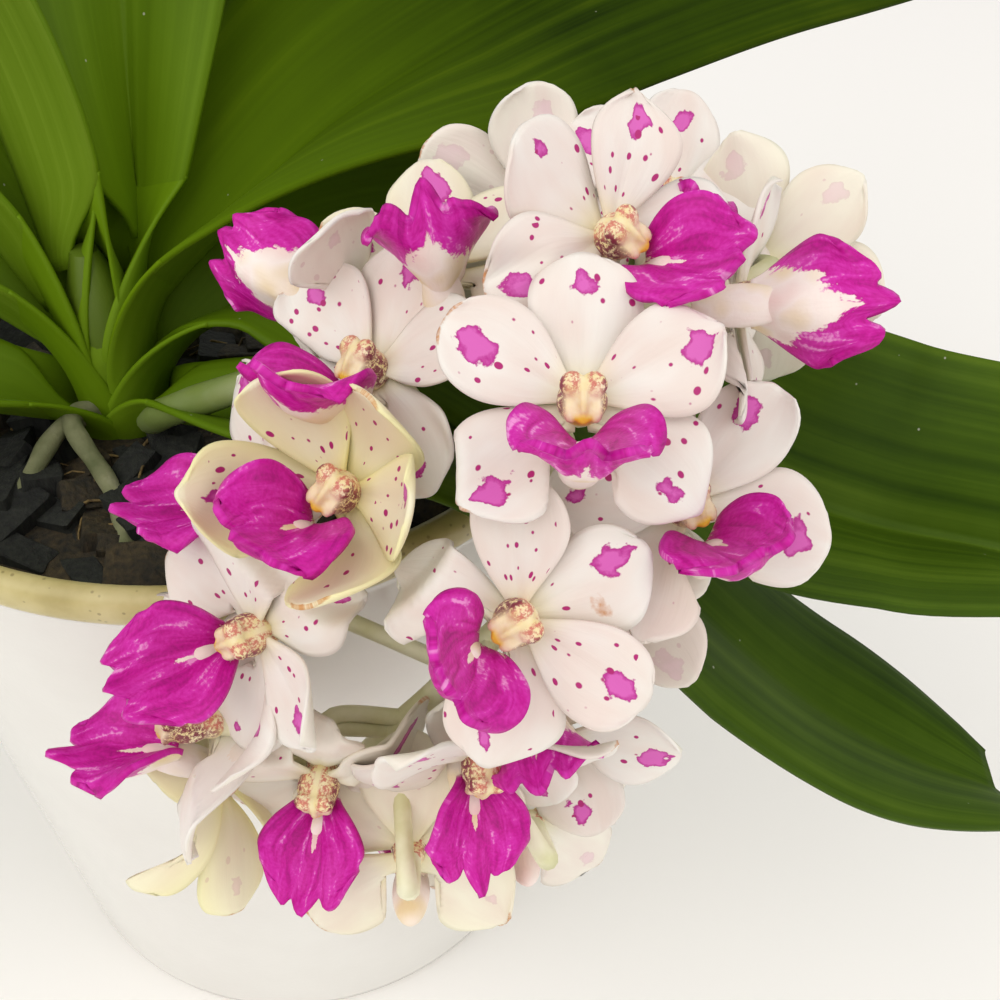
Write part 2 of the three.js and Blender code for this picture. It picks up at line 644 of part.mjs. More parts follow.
const root = new THREE.Group();
root.add(mesh('pot', buildPot(), 'glazed_pot'));
const medium = fuse([mediumPlug(), ...barkChips()]);
root.add(mesh('medium', clearOf(medium, [stemCut, ...leafCuts]), 'fibre_medium'));
root.add(mesh('stem_and_roots', stem, 'stem_root'));
root.add(mesh('flower_stem', clearOf(stalkSolid(frames, 0), [stemCut]), 'flower_stalk'));
LEAVES.forEach((leaf, k) => {
  const blade = toManifold(leafGeometry(leaf, 0));
  root.add(mesh(leaf.name, clearOf(blade, [stemCut, stalkCut, ...leafCuts.slice(0, k)]), 'leaf_blade'));
});
for (const bloom of blooms) {
  root.add(mesh(`${bloom.name}_petals`, bloom.petals, 'petal_flesh'));
  root.add(mesh(`${bloom.name}_lip`, bloom.lip, 'lip_flesh'));
}

export default root;
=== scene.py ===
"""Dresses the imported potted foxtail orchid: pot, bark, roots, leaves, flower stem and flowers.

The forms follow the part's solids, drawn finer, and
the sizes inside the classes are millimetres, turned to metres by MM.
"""

import logging
import math
import random
from collections.abc import Callable
from dataclasses import dataclass, field
from enum import Enum
from functools import partial

import bpy
import numpy as np
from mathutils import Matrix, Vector


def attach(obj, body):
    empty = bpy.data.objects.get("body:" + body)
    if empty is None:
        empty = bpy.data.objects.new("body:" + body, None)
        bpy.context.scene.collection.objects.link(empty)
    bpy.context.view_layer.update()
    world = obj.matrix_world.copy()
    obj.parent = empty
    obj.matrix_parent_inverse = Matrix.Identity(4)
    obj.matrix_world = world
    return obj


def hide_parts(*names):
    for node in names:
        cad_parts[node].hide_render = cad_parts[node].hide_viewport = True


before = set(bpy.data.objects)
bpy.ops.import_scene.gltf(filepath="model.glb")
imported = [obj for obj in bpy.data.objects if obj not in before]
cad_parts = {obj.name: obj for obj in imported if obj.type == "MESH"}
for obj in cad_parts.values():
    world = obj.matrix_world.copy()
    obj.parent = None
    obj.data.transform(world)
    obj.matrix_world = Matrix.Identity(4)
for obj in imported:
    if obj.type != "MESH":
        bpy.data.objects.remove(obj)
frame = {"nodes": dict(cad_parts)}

MM = 0.001
LOG = logging.getLogger("orchid")
Numbers = np.ndarray
Point = tuple[float, float, float]
Piece = bpy.types.Object
Material = bpy.types.Material
Tree = bpy.types.NodeTree
Node = bpy.types.Node
Socket = bpy.types.NodeSocket

# A full turn in radians, close enough for loose chips and fibres
ROUND = 6.28

# Where the stem stands, in millimetres
STEM = (-17, -10)

# Inputs of a colour mix by number, because others of the node have the same names
FACTOR, BELOW, ABOVE = 0, 6, 7


class Slot(Enum):
    """The record's material slots."""

    POT = "glazed_pot"
    MEDIUM = "fibre_medium"
    ROOT = "stem_root"
    LEAF = "leaf_blade"
    STALK = "flower_stalk"
    PETAL = "petal_flesh"
    LIP = "lip_flesh"


class Part(Enum):
    """The five petal-like parts of a flower, in the order of the blotch sizes in the flower table."""

    UPPER_SEPAL = 0
    RIGHT_PETAL = 1
    LEFT_PETAL = 2
    RIGHT_SEPAL = 3
    LEFT_SEPAL = 4


# Small helpers for colour, node trees, selection and curves


def linear(hex_colour: str) -> tuple[float, float, float, float]:
    """Turns an sRGB hex colour to the linear red, green, blue and alpha that Blender's sockets take."""
    parts = [int(hex_colour[k : k + 2], 16) / 255 for k in (0, 2, 4)]
    bent = [c / 12.92 if c <= 0.04045 else ((c + 0.055) / 1.055) ** 2.4 for c in parts]
    return (bent[0], bent[1], bent[2], 1.0)


def add_node(tree: Tree, kind: str, settings: dict | None = None, links: dict | None = None) -> Node:
    """Adds one node with its settings and links.

    Args:
        tree: the node tree to add to.
        kind: the node's type name after ShaderNode, where a Mix always mixes colours.
        settings: node properties and socket values by name or number, a ramp's stops, a range's span.
        links: what feeds an input, by its name or number: a socket, or a node's first output in use.

    Returns:
        The new node.
    """
    node = tree.nodes.new(f"ShaderNode{kind}")
    if kind == "Mix":
        node.data_type = "RGBA"
    for key, value in (settings or {}).items():
        if key == "stops":
            elements = node.color_ramp.elements
            while len(elements) < len(value):
                elements.new(0.5)
            for element, (place, colour) in zip(elements, value):
                element.position = place
                element.color = linear(colour)
        elif key == "span":
            for label, end in zip(("From Min", "From Max", "To Min", "To Max"), value):
                node.inputs[label].default_value = end
        elif isinstance(key, str) and hasattr(node, key):
            setattr(node, key, value)
        else:
            node.inputs[key].default_value = value
    for key, source in (links or {}).items():
        if isinstance(source, Node):
            source = next(socket for socket in source.outputs if socket.enabled)
        tree.links.new(source, node.inputs[key])
    return node


def new_material(name: str) -> tuple[Material, Callable]:
    """Starts an empty node material and gives the function that adds nodes to it."""
    material = bpy.data.materials.new(name)
    material.use_nodes = True
    material.node_tree.nodes.clear()
    return material, partial(add_node, material.node_tree)


def finished(
    material: Material, colour: Node, skin: dict, relief: tuple[Node, float, float] | None = None
) -> Material:
    """Ends a material with its shader and gives it back.

    Args:
        material: the material with the nodes of its pattern.
        colour: the node that gives the base colour.
        skin: the shader's values by socket name.
        relief: the node that gives the height, its strength from 0 to 1 and its depth in metres.
    """
    tree = material.node_tree
    links = {"Base Color": colour}
    if relief:
        height, strength, depth = relief
        bump = add_node(tree, "Bump", {"Strength": strength, "Distance": depth}, {"Height": height})
        links["Normal"] = bump
    shader = add_node(tree, "BsdfPrincipled", skin, links)
    add_node(tree, "OutputMaterial", links={"Surface": shader})
    return material


def deselect_all() -> None:
    """Leaves nothing selected, so that an operator acts on the new piece alone."""
    bpy.ops.object.select_all(action="DESELECT")


def activate(*pieces: Piece) -> None:
    """Selects these pieces alone and makes the first one active."""
    deselect_all()
    for piece in pieces:
        piece.select_set(True)
    bpy.context.view_layer.objects.active = pieces[0]


def apply_modifier(piece: Piece, kind: str, **settings: object) -> None:
    """Adds a modifier of this type to the piece with its settings and applies it at once."""
    activate(piece)
    modifier = piece.modifiers.new(kind.lower(), kind)
    for key, value in settings.items():
        setattr(modifier, key, value)
    bpy.ops.object.modifier_apply(modifier=modifier.name)


def joined(name: str, pieces: list[Piece]) -> Piece:
    """Joins pieces into the first one and names it."""
    activate(*pieces)
    if len(pieces) > 1:
        bpy.ops.object.join()
    whole = bpy.context.view_layer.objects.active
    whole.name = name
    whole.data.name = name
    return whole


def copied(pattern: Piece) -> Piece:
    """Copies a piece with a mesh of its own."""
    piece = pattern.copy()
    piece.data = pattern.data.copy()
    bpy.context.scene.collection.objects.link(piece)
    return piece


def dress(piece: Piece, skins: list[Material]) -> None:
    """Gives a piece these materials and no others."""
    piece.data.materials.clear()
    for skin in skins:
        piece.data.materials.append(skin)


def seat(
    piece: Piece, materials: list[Material], replaces: tuple[str, ...] = (), smooth: float = 180
) -> Piece:
    """Puts a finished piece at the origin, dresses it and lets it ride on the part.

    Args:
        piece: the piece, whose place is applied to its mesh.
        materials: its materials, in the order of its faces' indexes.
        replaces: the solid nodes that it stands for.
        smooth: the angle in degrees up to which edges are shaded smooth.

    Returns:
        The same piece.
    """
    activate(piece)
    bpy.ops.object.transform_apply(location=True, rotation=True, scale=True)
    if smooth >= 180:
        bpy.ops.object.shade_smooth()
    else:
        bpy.ops.object.shade_smooth_by_angle(angle=math.radians(smooth))
    indexes = [polygon.material_index for polygon in piece.data.polygons]
    dress(piece, materials)
    piece.data.polygons.foreach_set("material_index", [min(k, len(materials) - 1) for k in indexes])
    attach(piece, "root")
    if replaces:
        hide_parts(*replaces)
    LOG.info("%s: %d faces", piece.name, len(piece.data.polygons))
    return piece


def rows_of(*values: Numbers | float) -> Numbers:
    """Sets values side by side, one point or direction to a row."""
    return np.stack(np.broadcast_arrays(*values), axis=-1)


def unit(vectors: Numbers) -> Numbers:
    """Scales vectors, one to a row, to length 1."""
    return vectors / np.linalg.norm(vectors, axis=-1, keepdims=True)


def smoothstep(low: float, high: float, value: Numbers) -> Numbers:
    """Goes from 0 at low to 1 at high without corners."""
    x = np.clip((value - low) / (high - low), 0, 1)
    return x * x * (3 - 2 * x)


def hill(value: Numbers, middle: float, width: float) -> Numbers:
    """A round hill of height 1 with its top at the middle."""
    return np.exp(-(((value - middle) / width) ** 2))


def soft_minimum(a: Numbers, b: Numbers, width: float) -> Numbers:
    """The smaller of a and b, rounded off over this width where they cross."""
    h = np.clip(0.5 + 0.5 * (b - a) / width, 0, 1)
    return b * (1 - h) + a * h - width * h * (1 - h)


def turn_about(vector: Numbers, axis: Numbers, degrees: float) -> Numbers:
    """Turns a vector about a unit axis by an angle in degrees."""
    angle = math.radians(degrees)
    along = axis * (axis @ vector) * (1 - math.cos(angle))
    return vector * math.cos(angle) + np.cross(axis, vector) * math.sin(angle) + along


class SmoothPath:
    """A smooth line through points, read by the share of its length."""

    def __init__(self, points: list[Point], samples: int = 60) -> None:
        """Draws the line through points in millimetres, each stretch in this many steps."""
        knots = np.array(points, float)
        knots = np.vstack([2 * knots[0] - knots[1], knots, 2 * knots[-1] - knots[-2]])
        t = np.linspace(0, 1, samples, endpoint=False)[:, None]
        drawn = []
        for a, b, c, d in zip(knots, knots[1:], knots[2:], knots[3:]):
            slope_b, slope_c = (c - a) / 2, (d - b) / 2
            cubic = 2 * b - 2 * c + slope_b + slope_c
            square = -3 * b + 3 * c - 2 * slope_b - slope_c
            drawn.append(cubic * t**3 + square * t**2 + slope_b * t + b)
        self.line = np.vstack([*drawn, knots[-2:-1]])
        steps = np.linalg.norm(np.diff(self.line, axis=0), axis=1)
        self.reach = np.concatenate([[0], np.cumsum(steps)])
        self.length = float(self.reach[-1])

    def point(self, share: Numbers | float) -> Numbers:
        """Points at shares of the length, one to a row."""
        at = np.atleast_1d(share) * self.length
        return np.stack([np.interp(at, self.reach, self.line[:, k]) for k in range(3)], axis=-1)

    def along(self, share: Numbers | float) -> Numbers:
        """Unit directions at shares of the length, one to a row."""
        share = np.atleast_1d(share)
        return unit(self.point(np.minimum(1, share + 0.004)) - self.point(np.maximum(0, share - 0.004)))


def reshape(piece: Piece, points: Numbers, facts: dict[str, Numbers]) -> None:
    """Moves a mesh's points, in millimetres, and stores facts on them, three values a point."""
    for label, values in facts.items():
        attribute = piece.data.attributes.new(label, "FLOAT_VECTOR", "POINT")
        attribute.data.foreach_set("vector", values.astype(np.float32).ravel())
    piece.data.vertices.foreach_set("co", (points * MM).astype(np.float32).ravel())
    piece.data.update()


def drawn_grid(name: str, rows: int, across: int, surface: Callable, facts: dict[str, Callable]) -> Piece:
    """Adds a grid and bends it to a surface.

    Args:
        name: the new object's name.
        rows: cells along the blade.
        across: cells across the blade.
        surface: gives points in millimetres for s (0 to 1 along) and t (-1 to 1 across, left first).
        facts: values to store on the points for the material, by attribute name, from s and t.

    Returns:
        The bent grid, its front where the grid's upper side was.
    """
    deselect_all()
    bpy.ops.mesh.primitive_grid_add(x_subdivisions=across, y_subdivisions=rows, size=2)
    grid = bpy.context.active_object
    grid.name = name
    flat = np.zeros(len(grid.data.vertices) * 3, np.float32)
    grid.data.vertices.foreach_get("co", flat)
    flat = flat.reshape(-1, 3).astype(float)
    s, t = (flat[:, 1] + 1) / 2, flat[:, 0]
    reshape(grid, surface(s, t), {label: values(s, t) for label, values in facts.items()})
    return grid


def thicken(piece: Piece, skins: list[Material], deep: float, share: Callable, thinnest: float) -> None:
    """Gives a bent grid its thickness, less towards its edge, with its own material on the back.

    Args:
        piece: the bent grid, still with its flat square in the map.
        skins: the materials of its front and its back.
        deep: millimetres at the thickest.
        share: gives 0 to 1 of the thickness for map places across and along, from 0 to 1.
        thinnest: the least share that an edge keeps.
    """
    places = np.zeros((len(piece.data.vertices), 2))
    layer = piece.data.uv_layers[0].data
    for loop in piece.data.loops:
        places[loop.vertex_index] = layer[loop.index].uv
    group = piece.vertex_groups.new(name="thickness")
    for index, weight in enumerate(np.clip(share(places[:, 0], places[:, 1]), 0, 1)):
        group.add([index], float(weight), "REPLACE")
    dress(piece, skins)
    apply_modifier(
        piece, "SOLIDIFY", thickness=deep * MM, offset=0, vertex_group="thickness",
        thickness_vertex_group=thinnest, material_offset=1, material_offset_rim=0,
    )  # fmt: skip
    piece.vertex_groups.clear()


def plump(edge: float, power: float, tip: float = 0, start: float = 0, tip_power: float = 1) -> Callable:
    """A sheet's thickness for map places: it loses edge to its sides, and tip from start to its end."""
    width = 1 - start
    return lambda u, v: (
        1 - edge * np.abs(2 * u - 1) ** power - tip * np.clip((v - start) / width, 0, 1) ** tip_power
    )


def drawn_up(name: str, sides: int, rings: list[tuple[float, float]]) -> Piece:
    """Draws a closed round piece up ring by ring from a disc.

    Args:
        name: the new object's name.
        sides: how many sides its round has.
        rings: the radius and height of each ring in millimetres, the disc's first.

    Returns:
        The piece, closed by a face over its last ring.
    """
    radius, height = rings[0]
    deselect_all()
    bpy.ops.mesh.primitive_circle_add(
        vertices=sides, radius=radius * MM, fill_type="NGON", location=(0, 0, height * MM)
    )
    piece = bpy.context.active_object
    piece.name = name
    bpy.ops.object.mode_set(mode="EDIT")
    bpy.ops.mesh.select_all(action="SELECT")
    bpy.ops.mesh.flip_normals()
    bpy.ops.mesh.select_mode(type="EDGE")
    for next_radius, next_height in rings[1:]:
        rise = (next_height - height) * MM
        bpy.ops.mesh.extrude_edges_move(TRANSFORM_OT_translate={"value": (0, 0, rise)})
        share = next_radius / radius
        bpy.ops.transform.resize(value=(share, share, 1), center_override=(0, 0, 0))
        radius, height = next_radius, next_height
    bpy.ops.mesh.edge_face_add()
    bpy.ops.mesh.select_all(action="SELECT")
    bpy.ops.mesh.normals_make_consistent(inside=False)
    bpy.ops.object.mode_set(mode="OBJECT")
    return piece


def tube(name: str, points: Numbers, radii: Numbers, sides: int = 3) -> Piece:
    """Draws a closed round stalk along points.

    Args:
        name: the new object's name.
        points: points in millimetres, one to a row.
        radii: the radius at each point, in millimetres.
        sides: how finely its round is drawn.

    Returns:
        The stalk as a mesh.
    """
    curve = bpy.data.curves.new(name, "CURVE")
    curve.dimensions = "3D"
    curve.bevel_depth = MM
    curve.bevel_resolution = sides
    curve.use_fill_caps = True
    spline = curve.splines.new("POLY")
    spline.points.add(len(points) - 1)
    for knot, point, radius in zip(spline.points, points, radii):
        knot.co = (*(point * MM), 1)
        knot.radius = float(radius)
    piece = bpy.data.objects.new(name, curve)
    bpy.context.scene.collection.objects.link(piece)
    activate(piece)
    bpy.ops.object.convert(target="MESH")
    return bpy.context.active_object


# Finishes


@dataclass(frozen=True)
class WhiteGlaze:
    """Glazed stoneware, dipped and fired: a glassy warm white that pools a little unevenly."""

    name: str = "glazed_stoneware_white"

    def material(self) -> Material:
        """Builds the node material."""
        material, node = new_material(self.name)
        place = node("TexCoord").outputs["Object"]
        # Pools of glaze about 25 mm wide
        pool = node("TexNoise", {"Scale": 40.0, "Detail": 3}, {"Vector": place})
        tone = node("ValToRGB", {"stops": [(0.3, "dedbd5"), (0.7, "e4e2dc")]}, {0: pool})
        # Pinholes of the fired glaze, drawn about 0.5 mm wide so that they show
        pits = node("TexNoise", {"Scale": 900.0, "Detail": 2}, {"Vector": place})
        skin = {"Roughness": 0.22, "Coat Weight": 0.4, "Coat Roughness": 0.08}
        return finished(material, tone, skin, (pits, 0.06, 0.0003))


@dataclass(frozen=True)
class TanGlaze:
    """The rim's tan glaze, brushed on: clouded and dotted with iron specks."""

    name: str = "glazed_stoneware_tan"
    iron: str = "6f6036"

    def material(self) -> Material:
        """Builds the node material."""
        material, node = new_material(self.name)
        place = node("TexCoord").outputs["Object"]
        cloud = node("TexNoise", {"Scale": 120.0, "Detail": 5}, {"Vector": place})
        stops = [(0.3, "a8995f"), (0.5, "beb076"), (0.7, "cdc08a")]
        tone = node("ValToRGB", {"stops": stops}, {0: cloud})
        # Iron specks about 0.4 mm wide
        specks = node("TexVoronoi", {"Scale": 600.0}, {"Vector": place})
        dark = node("MapRange", {"span": (0.12, 0.2, 0.55, 0.0)}, {0: specks})
        mixed = node("Mix", {ABOVE: linear(self.iron)}, {FACTOR: dark, BELOW: tone})
        return finished(material, mixed, {"Roughness": 0.4}, (cloud, 0.12, 0.0004))


@dataclass(frozen=True)
class CharredBark:
    """Orchid bark and charcoal: chopped and damp, near black with brown fibres in the grain."""

    name: str
    dark: str
    light: str

    def material(self) -> Material:
        """Builds the node material."""
        material, node = new_material(self.name)
        place = node("TexCoord").outputs["Object"]
        # Grain about 1 mm wide and 6 mm long
        stretched = node("Mapping", {"Scale": (900.0, 900.0, 160.0)}, {"Vector": place})
        grain = node("TexNoise", {"Scale": 1.0, "Detail": 6}, {"Vector": stretched})
        lump = node("TexNoise", {"Scale": 110.0, "Detail": 4}, {"Vector": place})
        both = node("Math", {"operation": "MULTIPLY"}, {0: grain, 1: lump})
        tone = node("ValToRGB", {"stops": [(0.12, self.dark), (0.45, self.light)]}, {0: both})
        return finished(material, tone, {"Roughness": 0.85}, (grain, 0.7, 0.0008))


@dataclass(frozen=True)
class RootVelamen:
    """Aerial root: a dry spongy sheath in greyish olive, greener where it is damp."""

    name: str = "root_velamen"

    def material(self) -> Material:
        """Builds the node material."""
        material, node = new_material(self.name)
        place = node("TexCoord").outputs["Object"]
        patch = node("TexNoise", {"Scale": 130.0, "Detail": 6}, {"Vector": place})
        stops = [(0.3, "5a603a"), (0.5, "7f805c"), (0.68, "a3a084")]
        tone = node("ValToRGB", {"stops": stops}, {0: patch})
        fine = node("TexNoise", {"Scale": 1500.0, "Detail": 3}, {"Vector": place})
        return finished(material, tone, {"Roughness": 0.8}, (fine, 0.4, 0.0003))


@dataclass(frozen=True)
class LeafCuticle:
    """Leathery strap leaf with a waxed upper skin: dark green, striped lengthwise by its veins."""

    name: str
    dark: str
    middle: str
    pale: str
    gloss: float
    sheen: float = 0.1
    young: str = "72930c"
    dust: str = "c9c7b4"

    def material(self) -> Material:
        """Builds the node material."""
        material, node = new_material(self.name)
        blade = node("Attribute", {"attribute_name": "blade_mm"}).outputs["Vector"]
        # Broad stripes 3 to 6 mm wide that run the whole blade, then veins about 0.8 mm apart
        wide = node("Mapping", {"Scale": (0.26, 0.004, 1.0)}, {"Vector": blade})
        broad = node("TexNoise", {"Scale": 1.0, "Detail": 3, "Roughness": 0.6}, {"Vector": wide})
        narrow = node("Mapping", {"Scale": (1.25, 0.012, 1.0)}, {"Vector": blade})
        vein = node("TexNoise", {"Scale": 1.0, "Detail": 2}, {"Vector": narrow})
        mottle = node("TexNoise", {"Scale": 0.05, "Detail": 5, "Roughness": 0.6}, {"Vector": blade})
        stripe = node("Math", {"operation": "MULTIPLY_ADD", 1: 0.24}, {0: vein, 2: broad})
        shaded = node("Math", {"operation": "MULTIPLY_ADD", 1: 0.35}, {0: mottle, 2: stripe})
        value = node("Math", {"operation": "MULTIPLY", 1: 0.6}, {0: shaded})
        stops = [(0.32, self.dark), (0.49, self.middle), (0.68, self.pale)]
        tone = node("ValToRGB", {"stops": stops}, {0: value})
        # Yellower towards the base, where the leaf is young, over the first 80 mm
        parts = node("SeparateXYZ", links={0: blade})
        near = node("MapRange", {"span": (-5.0, 80.0, 0.62, 0.0)}, {0: parts.outputs["Y"]})
        # Dust specks about 0.3 mm wide, far apart
        grains = node("TexVoronoi", {"Scale": 0.13, "Randomness": 1.0}, {"Vector": blade})
        speck = node("MapRange", {"span": (0.02, 0.035, 0.6, 0.0)}, {0: grains})
        for share, colour in ((near, self.young), (speck, self.dust)):
            tone = node("Mix", {ABOVE: linear(colour)}, {FACTOR: share, BELOW: tone})
        skin = {"Roughness": self.gloss, "Specular IOR Level": self.sheen}
        return finished(material, tone, skin, (stripe, 0.25, 0.0003))


@dataclass(frozen=True)
class GreenStalk:
    """Soft fleshy stalk: pale, greener at its foot and, as painted shade, further back, faintly pitted,
    with a waxy skin.
    """

    name: str
    shade: str
    light: str
    # foot: the green of the stalk's foot, also painted shade on the stalks further back
    foot: str = "5b7212"

    def material(self) -> Material:
        """Builds the node material."""
        material, node = new_material(self.name)
        place = node("TexCoord").outputs["Object"]
        cloud = node("TexNoise", {"Scale": 160.0, "Detail": 4}, {"Vector": place})
        tone = node("ValToRGB", {"stops": [(0.34, self.shade), (0.62, self.light)]}, {0: cloud})
        # Greener where the stalk leaves the leaves, behind this place along Y, which also greens the back
        # flowers' stalks as painted shade
        parts = node("SeparateXYZ", links={0: place})
        share = node("MapRange", {"span": (-0.046, -0.032, 0.0, 0.9)}, {0: parts.outputs["Y"]})
        tone = node("Mix", {ABOVE: linear(self.foot)}, {FACTOR: share, BELOW: tone})
        fine = node("TexNoise", {"Scale": 1300.0, "Detail": 2}, {"Vector": place})
        return finished(material, tone, {"Roughness": 0.5}, (fine, 0.2, 0.0002))


@dataclass(frozen=True)
class PetalFlesh:
    """Living petal with a waxy skin: soft white with magenta blotches and specks."""

    name: str
    marks: float
    white: str = "e9e4dc"
    blush: str = "e4d6cc"
    cream: str = "efe8a6"
    rust: str = "c27a2a"
    blotch_inner: str = "d35fb4"
    blotch_edge: str = "b4258a"
    speck: str = "ad1c6e"

    def material(self) -> Material:
        """Builds the node material."""
        material, node = new_material(self.name)
        blade, mark, fact, zone = (
            node("Attribute", {"attribute_name": name}).outputs["Vector"]
            for name in ("blade_mm", "blotch_mm", "tone", "speck_zone")
        )
        outside = self.blotch(node, blade, mark)
        inner = node("MapRange", {"span": (-0.75, -0.15, 0.0, 1.0)}, {0: outside})
        stops = [(0.0, self.blotch_inner), (1.0, self.blotch_edge)]
        magenta = node("ValToRGB", {"stops": stops}, {0: inner})
        cover = node("MapRange", {"span": (-0.1, 0.1, self.marks, 0.0)}, {0: outside})
        ground = self.ground(node, blade, fact)
        tone = node("Mix", links={FACTOR: cover, BELOW: ground, ABOVE: magenta})
        dots = {ABOVE: linear(self.speck)}
        tone = node("Mix", dots, {FACTOR: self.specks(node, blade, zone), BELOW: tone})
        # Veins about 0.6 mm apart
        narrow = node("Mapping", {"Scale": (1.6, 0.12, 1.0)}, {"Vector": blade})
        vein = node("TexNoise", {"Scale": 1.0, "Detail": 3}, {"Vector": narrow})
        skin = {"Roughness": 0.48, "Specular IOR Level": 0.35}
        return finished(material, tone, skin, (vein, 0.25, 0.00025))

    def ground(self, node: Callable, blade: Socket, fact: Socket) -> Node:
        """Mixes white, blush, cream and rust.

        Args:
            node: adds a node to the material.
            blade: the place on the petal in millimetres.
            fact: how cream, how blushed and how rusty the petal is.

        Returns:
            The colour without marks.
        """
        parts = node("SeparateXYZ", links={0: fact})
        # Blush clouds about 6 mm wide, drawn out along the petal
        drawn = node("Mapping", {"Scale": (0.22, 0.11, 1.0)}, {"Vector": blade})
        cloud = node("TexNoise", {"Scale": 1.0, "Detail": 2}, {"Vector": drawn})
        shift = node("Math", {"operation": "ADD"}, {0: cloud, 1: parts.outputs["Y"]})
        tone = node("ValToRGB", {"stops": [(0.42, self.white), (0.8, self.blush)]}, {0: shift})
        # Rusty wear in patches about 1 mm wide
        patchy = node("TexNoise", {"Scale": 1.1, "Detail": 3}, {"Vector": blade})
        worn = node("Math", {"operation": "MULTIPLY_ADD", 1: 0.6}, {0: patchy, 2: parts.outputs["Z"]})
        rusty = node("MapRange", {"span": (0.75, 1.0, 0.0, 0.85)}, {0: worn})
        for share, colour in ((parts.outputs["X"], self.cream), (rusty, self.rust)):
            tone = node("Mix", {ABOVE: linear(colour)}, {FACTOR: share, BELOW: tone})
        return tone

    def blotch(self, node: Callable, blade: Socket, mark: Socket) -> Node:
        """Measures how far a place is outside the ragged blotch, in millimetres.

        Args:
            node: adds a node to the material.
            blade: the place on the petal in millimetres, with the petal's own number as third value.
            mark: the blotch's centre, and its radius as third value.

        Returns:
            Millimetres outside the blotch, below 0 within it.
        """
        offset = node("VectorMath", {"operation": "SUBTRACT"}, {0: blade, 1: mark})
        flat = node("VectorMath", {"operation": "MULTIPLY", 1: (1.0, 0.88, 0.0)}, {0: offset})
        outside = node("VectorMath", {"operation": "LENGTH"}, {0: flat})
        # Lobes about 2 mm wide, then a ragged edge of about 0.3 mm
        for scale, detail, wander in ((0.5, 1, 1.7), (2.4, 3, 0.45)):
            noise = node("TexNoise", {"Scale": scale, "Detail": detail}, {"Vector": blade})
            shift = node("MapRange", {"clamp": False, "span": (0, 1, -wander, wander)}, {0: noise})
            outside = node("Math", {"operation": "ADD"}, {0: outside, 1: shift})
        radius = node("SeparateXYZ", links={0: mark}).outputs["Z"]
        return node("Math", {"operation": "SUBTRACT"}, {0: outside, 1: radius})

    def specks(self, node: Callable, blade: Socket, zone: Socket) -> Node:
        """Scatters small specks, a little longer than wide, in the speck zone.

        Args:
            node: adds a node to the material.
            blade: the place on the petal in millimetres.
            zone: how thick the specks stand, as its first value.

        Returns:
            0 to 1, how much of a speck covers the place.
        """
        # One chance of a speck every 1.6 mm across and 2 mm along
        place = node("Mapping", {"Scale": (0.62, 0.5, 1.0)}, {"Vector": blade})
        cells = node("TexVoronoi", {"Scale": 1.0, "Randomness": 0.9}, {"Vector": place})
        chance = node("SeparateColor", links={0: cells.outputs["Color"]})
        radius = node("MapRange", {"span": (0, 1, 0.11, 0.27)}, {0: chance.outputs["Green"]})
        thick = node("SeparateXYZ", links={0: zone}).outputs["X"]
        kept = node("Math", {"operation": "LESS_THAN"}, {0: chance.outputs["Red"], 1: thick})
        size = node("Math", {"operation": "MULTIPLY"}, {0: radius, 1: kept})
        outside = node("Math", {"operation": "SUBTRACT"}, {0: cells, 1: size})
        return node("MapRange", {"span": (-0.03, 0.02, self.marks, 0.0)}, {0: outside})


@dataclass(frozen=True)
class LipFlesh:
    """Thick lip flesh: saturated magenta, painted shade in its grooves, painted highlight on its ridges,
    cream white at its base and below.
    """

    name: str
    under: bool
    # deep is painted shade in the grooves; ridge and streak are painted highlight on the ridges
    deep: str = "9c0a72"
    body: str = "bf128f"
    ridge: str = "d02fa9"
    streak: str = "e78fcd"
    pale: str = "f3e6de"

    def material(self) -> Material:
        """Builds the node material."""
        material, node = new_material(self.name)
        blade, fact = (
            node("Attribute", {"attribute_name": name}).outputs["Vector"]
            for name in ("blade_mm", "lip_zone")
        )
        # Ridges about 1.2 mm apart along the lip, then cells drawn 0.3 mm wide whose tops are painted as
        # glints
        drawn = node("Mapping", {"Scale": (0.7, 0.15, 1.0)}, {"Vector": blade})
        ridges = node("TexNoise", {"Scale": 1.0, "Detail": 3, "Distortion": 0.9}, {"Vector": drawn})
        cells = node("TexNoise", {"Scale": 2.2, "Detail": 3}, {"Vector": blade})
        both = node("Math", {"operation": "MULTIPLY_ADD", 1: 0.35}, {0: cells, 2: ridges})
        # Painted light: the deep stop is shade in the low places of the relief, ridge and streak are
        # highlight on its high places
        stops = [(0.42, self.deep), (0.62, self.body), (0.8, self.ridge), (0.9, self.streak)]
        magenta = node("ValToRGB", {"stops": stops}, {0: both})
        # The border of the cream base, ragged by the same pattern
        ragged = node("MapRange", {"clamp": False, "span": (0.3, 0.7, -0.12, 0.12)}, {0: both})
        zone = node("SeparateXYZ", links={0: fact}).outputs["Y" if self.under else "X"]
        limit = node("Math", {"operation": "ADD"}, {0: zone, 1: ragged})
        white = node("MapRange", {"span": (-0.025, 0.025, 1.0, 0.0)}, {0: limit})
        warm = node("TexNoise", {"Scale": 0.12, "Detail": 2}, {"Vector": blade})
        stops = [(0.35, "e8d3a8"), (0.5, self.pale), (0.7, "e8c4bf")]
        cream = node("ValToRGB", {"stops": stops}, {0: warm})
        tone = node("Mix", links={FACTOR: white, BELOW: magenta, ABOVE: cream})
        skin = {"Roughness": 0.42, "Specular IOR Level": 0.2}
        return finished(material, tone, skin, (both, 0.35, 0.0004))


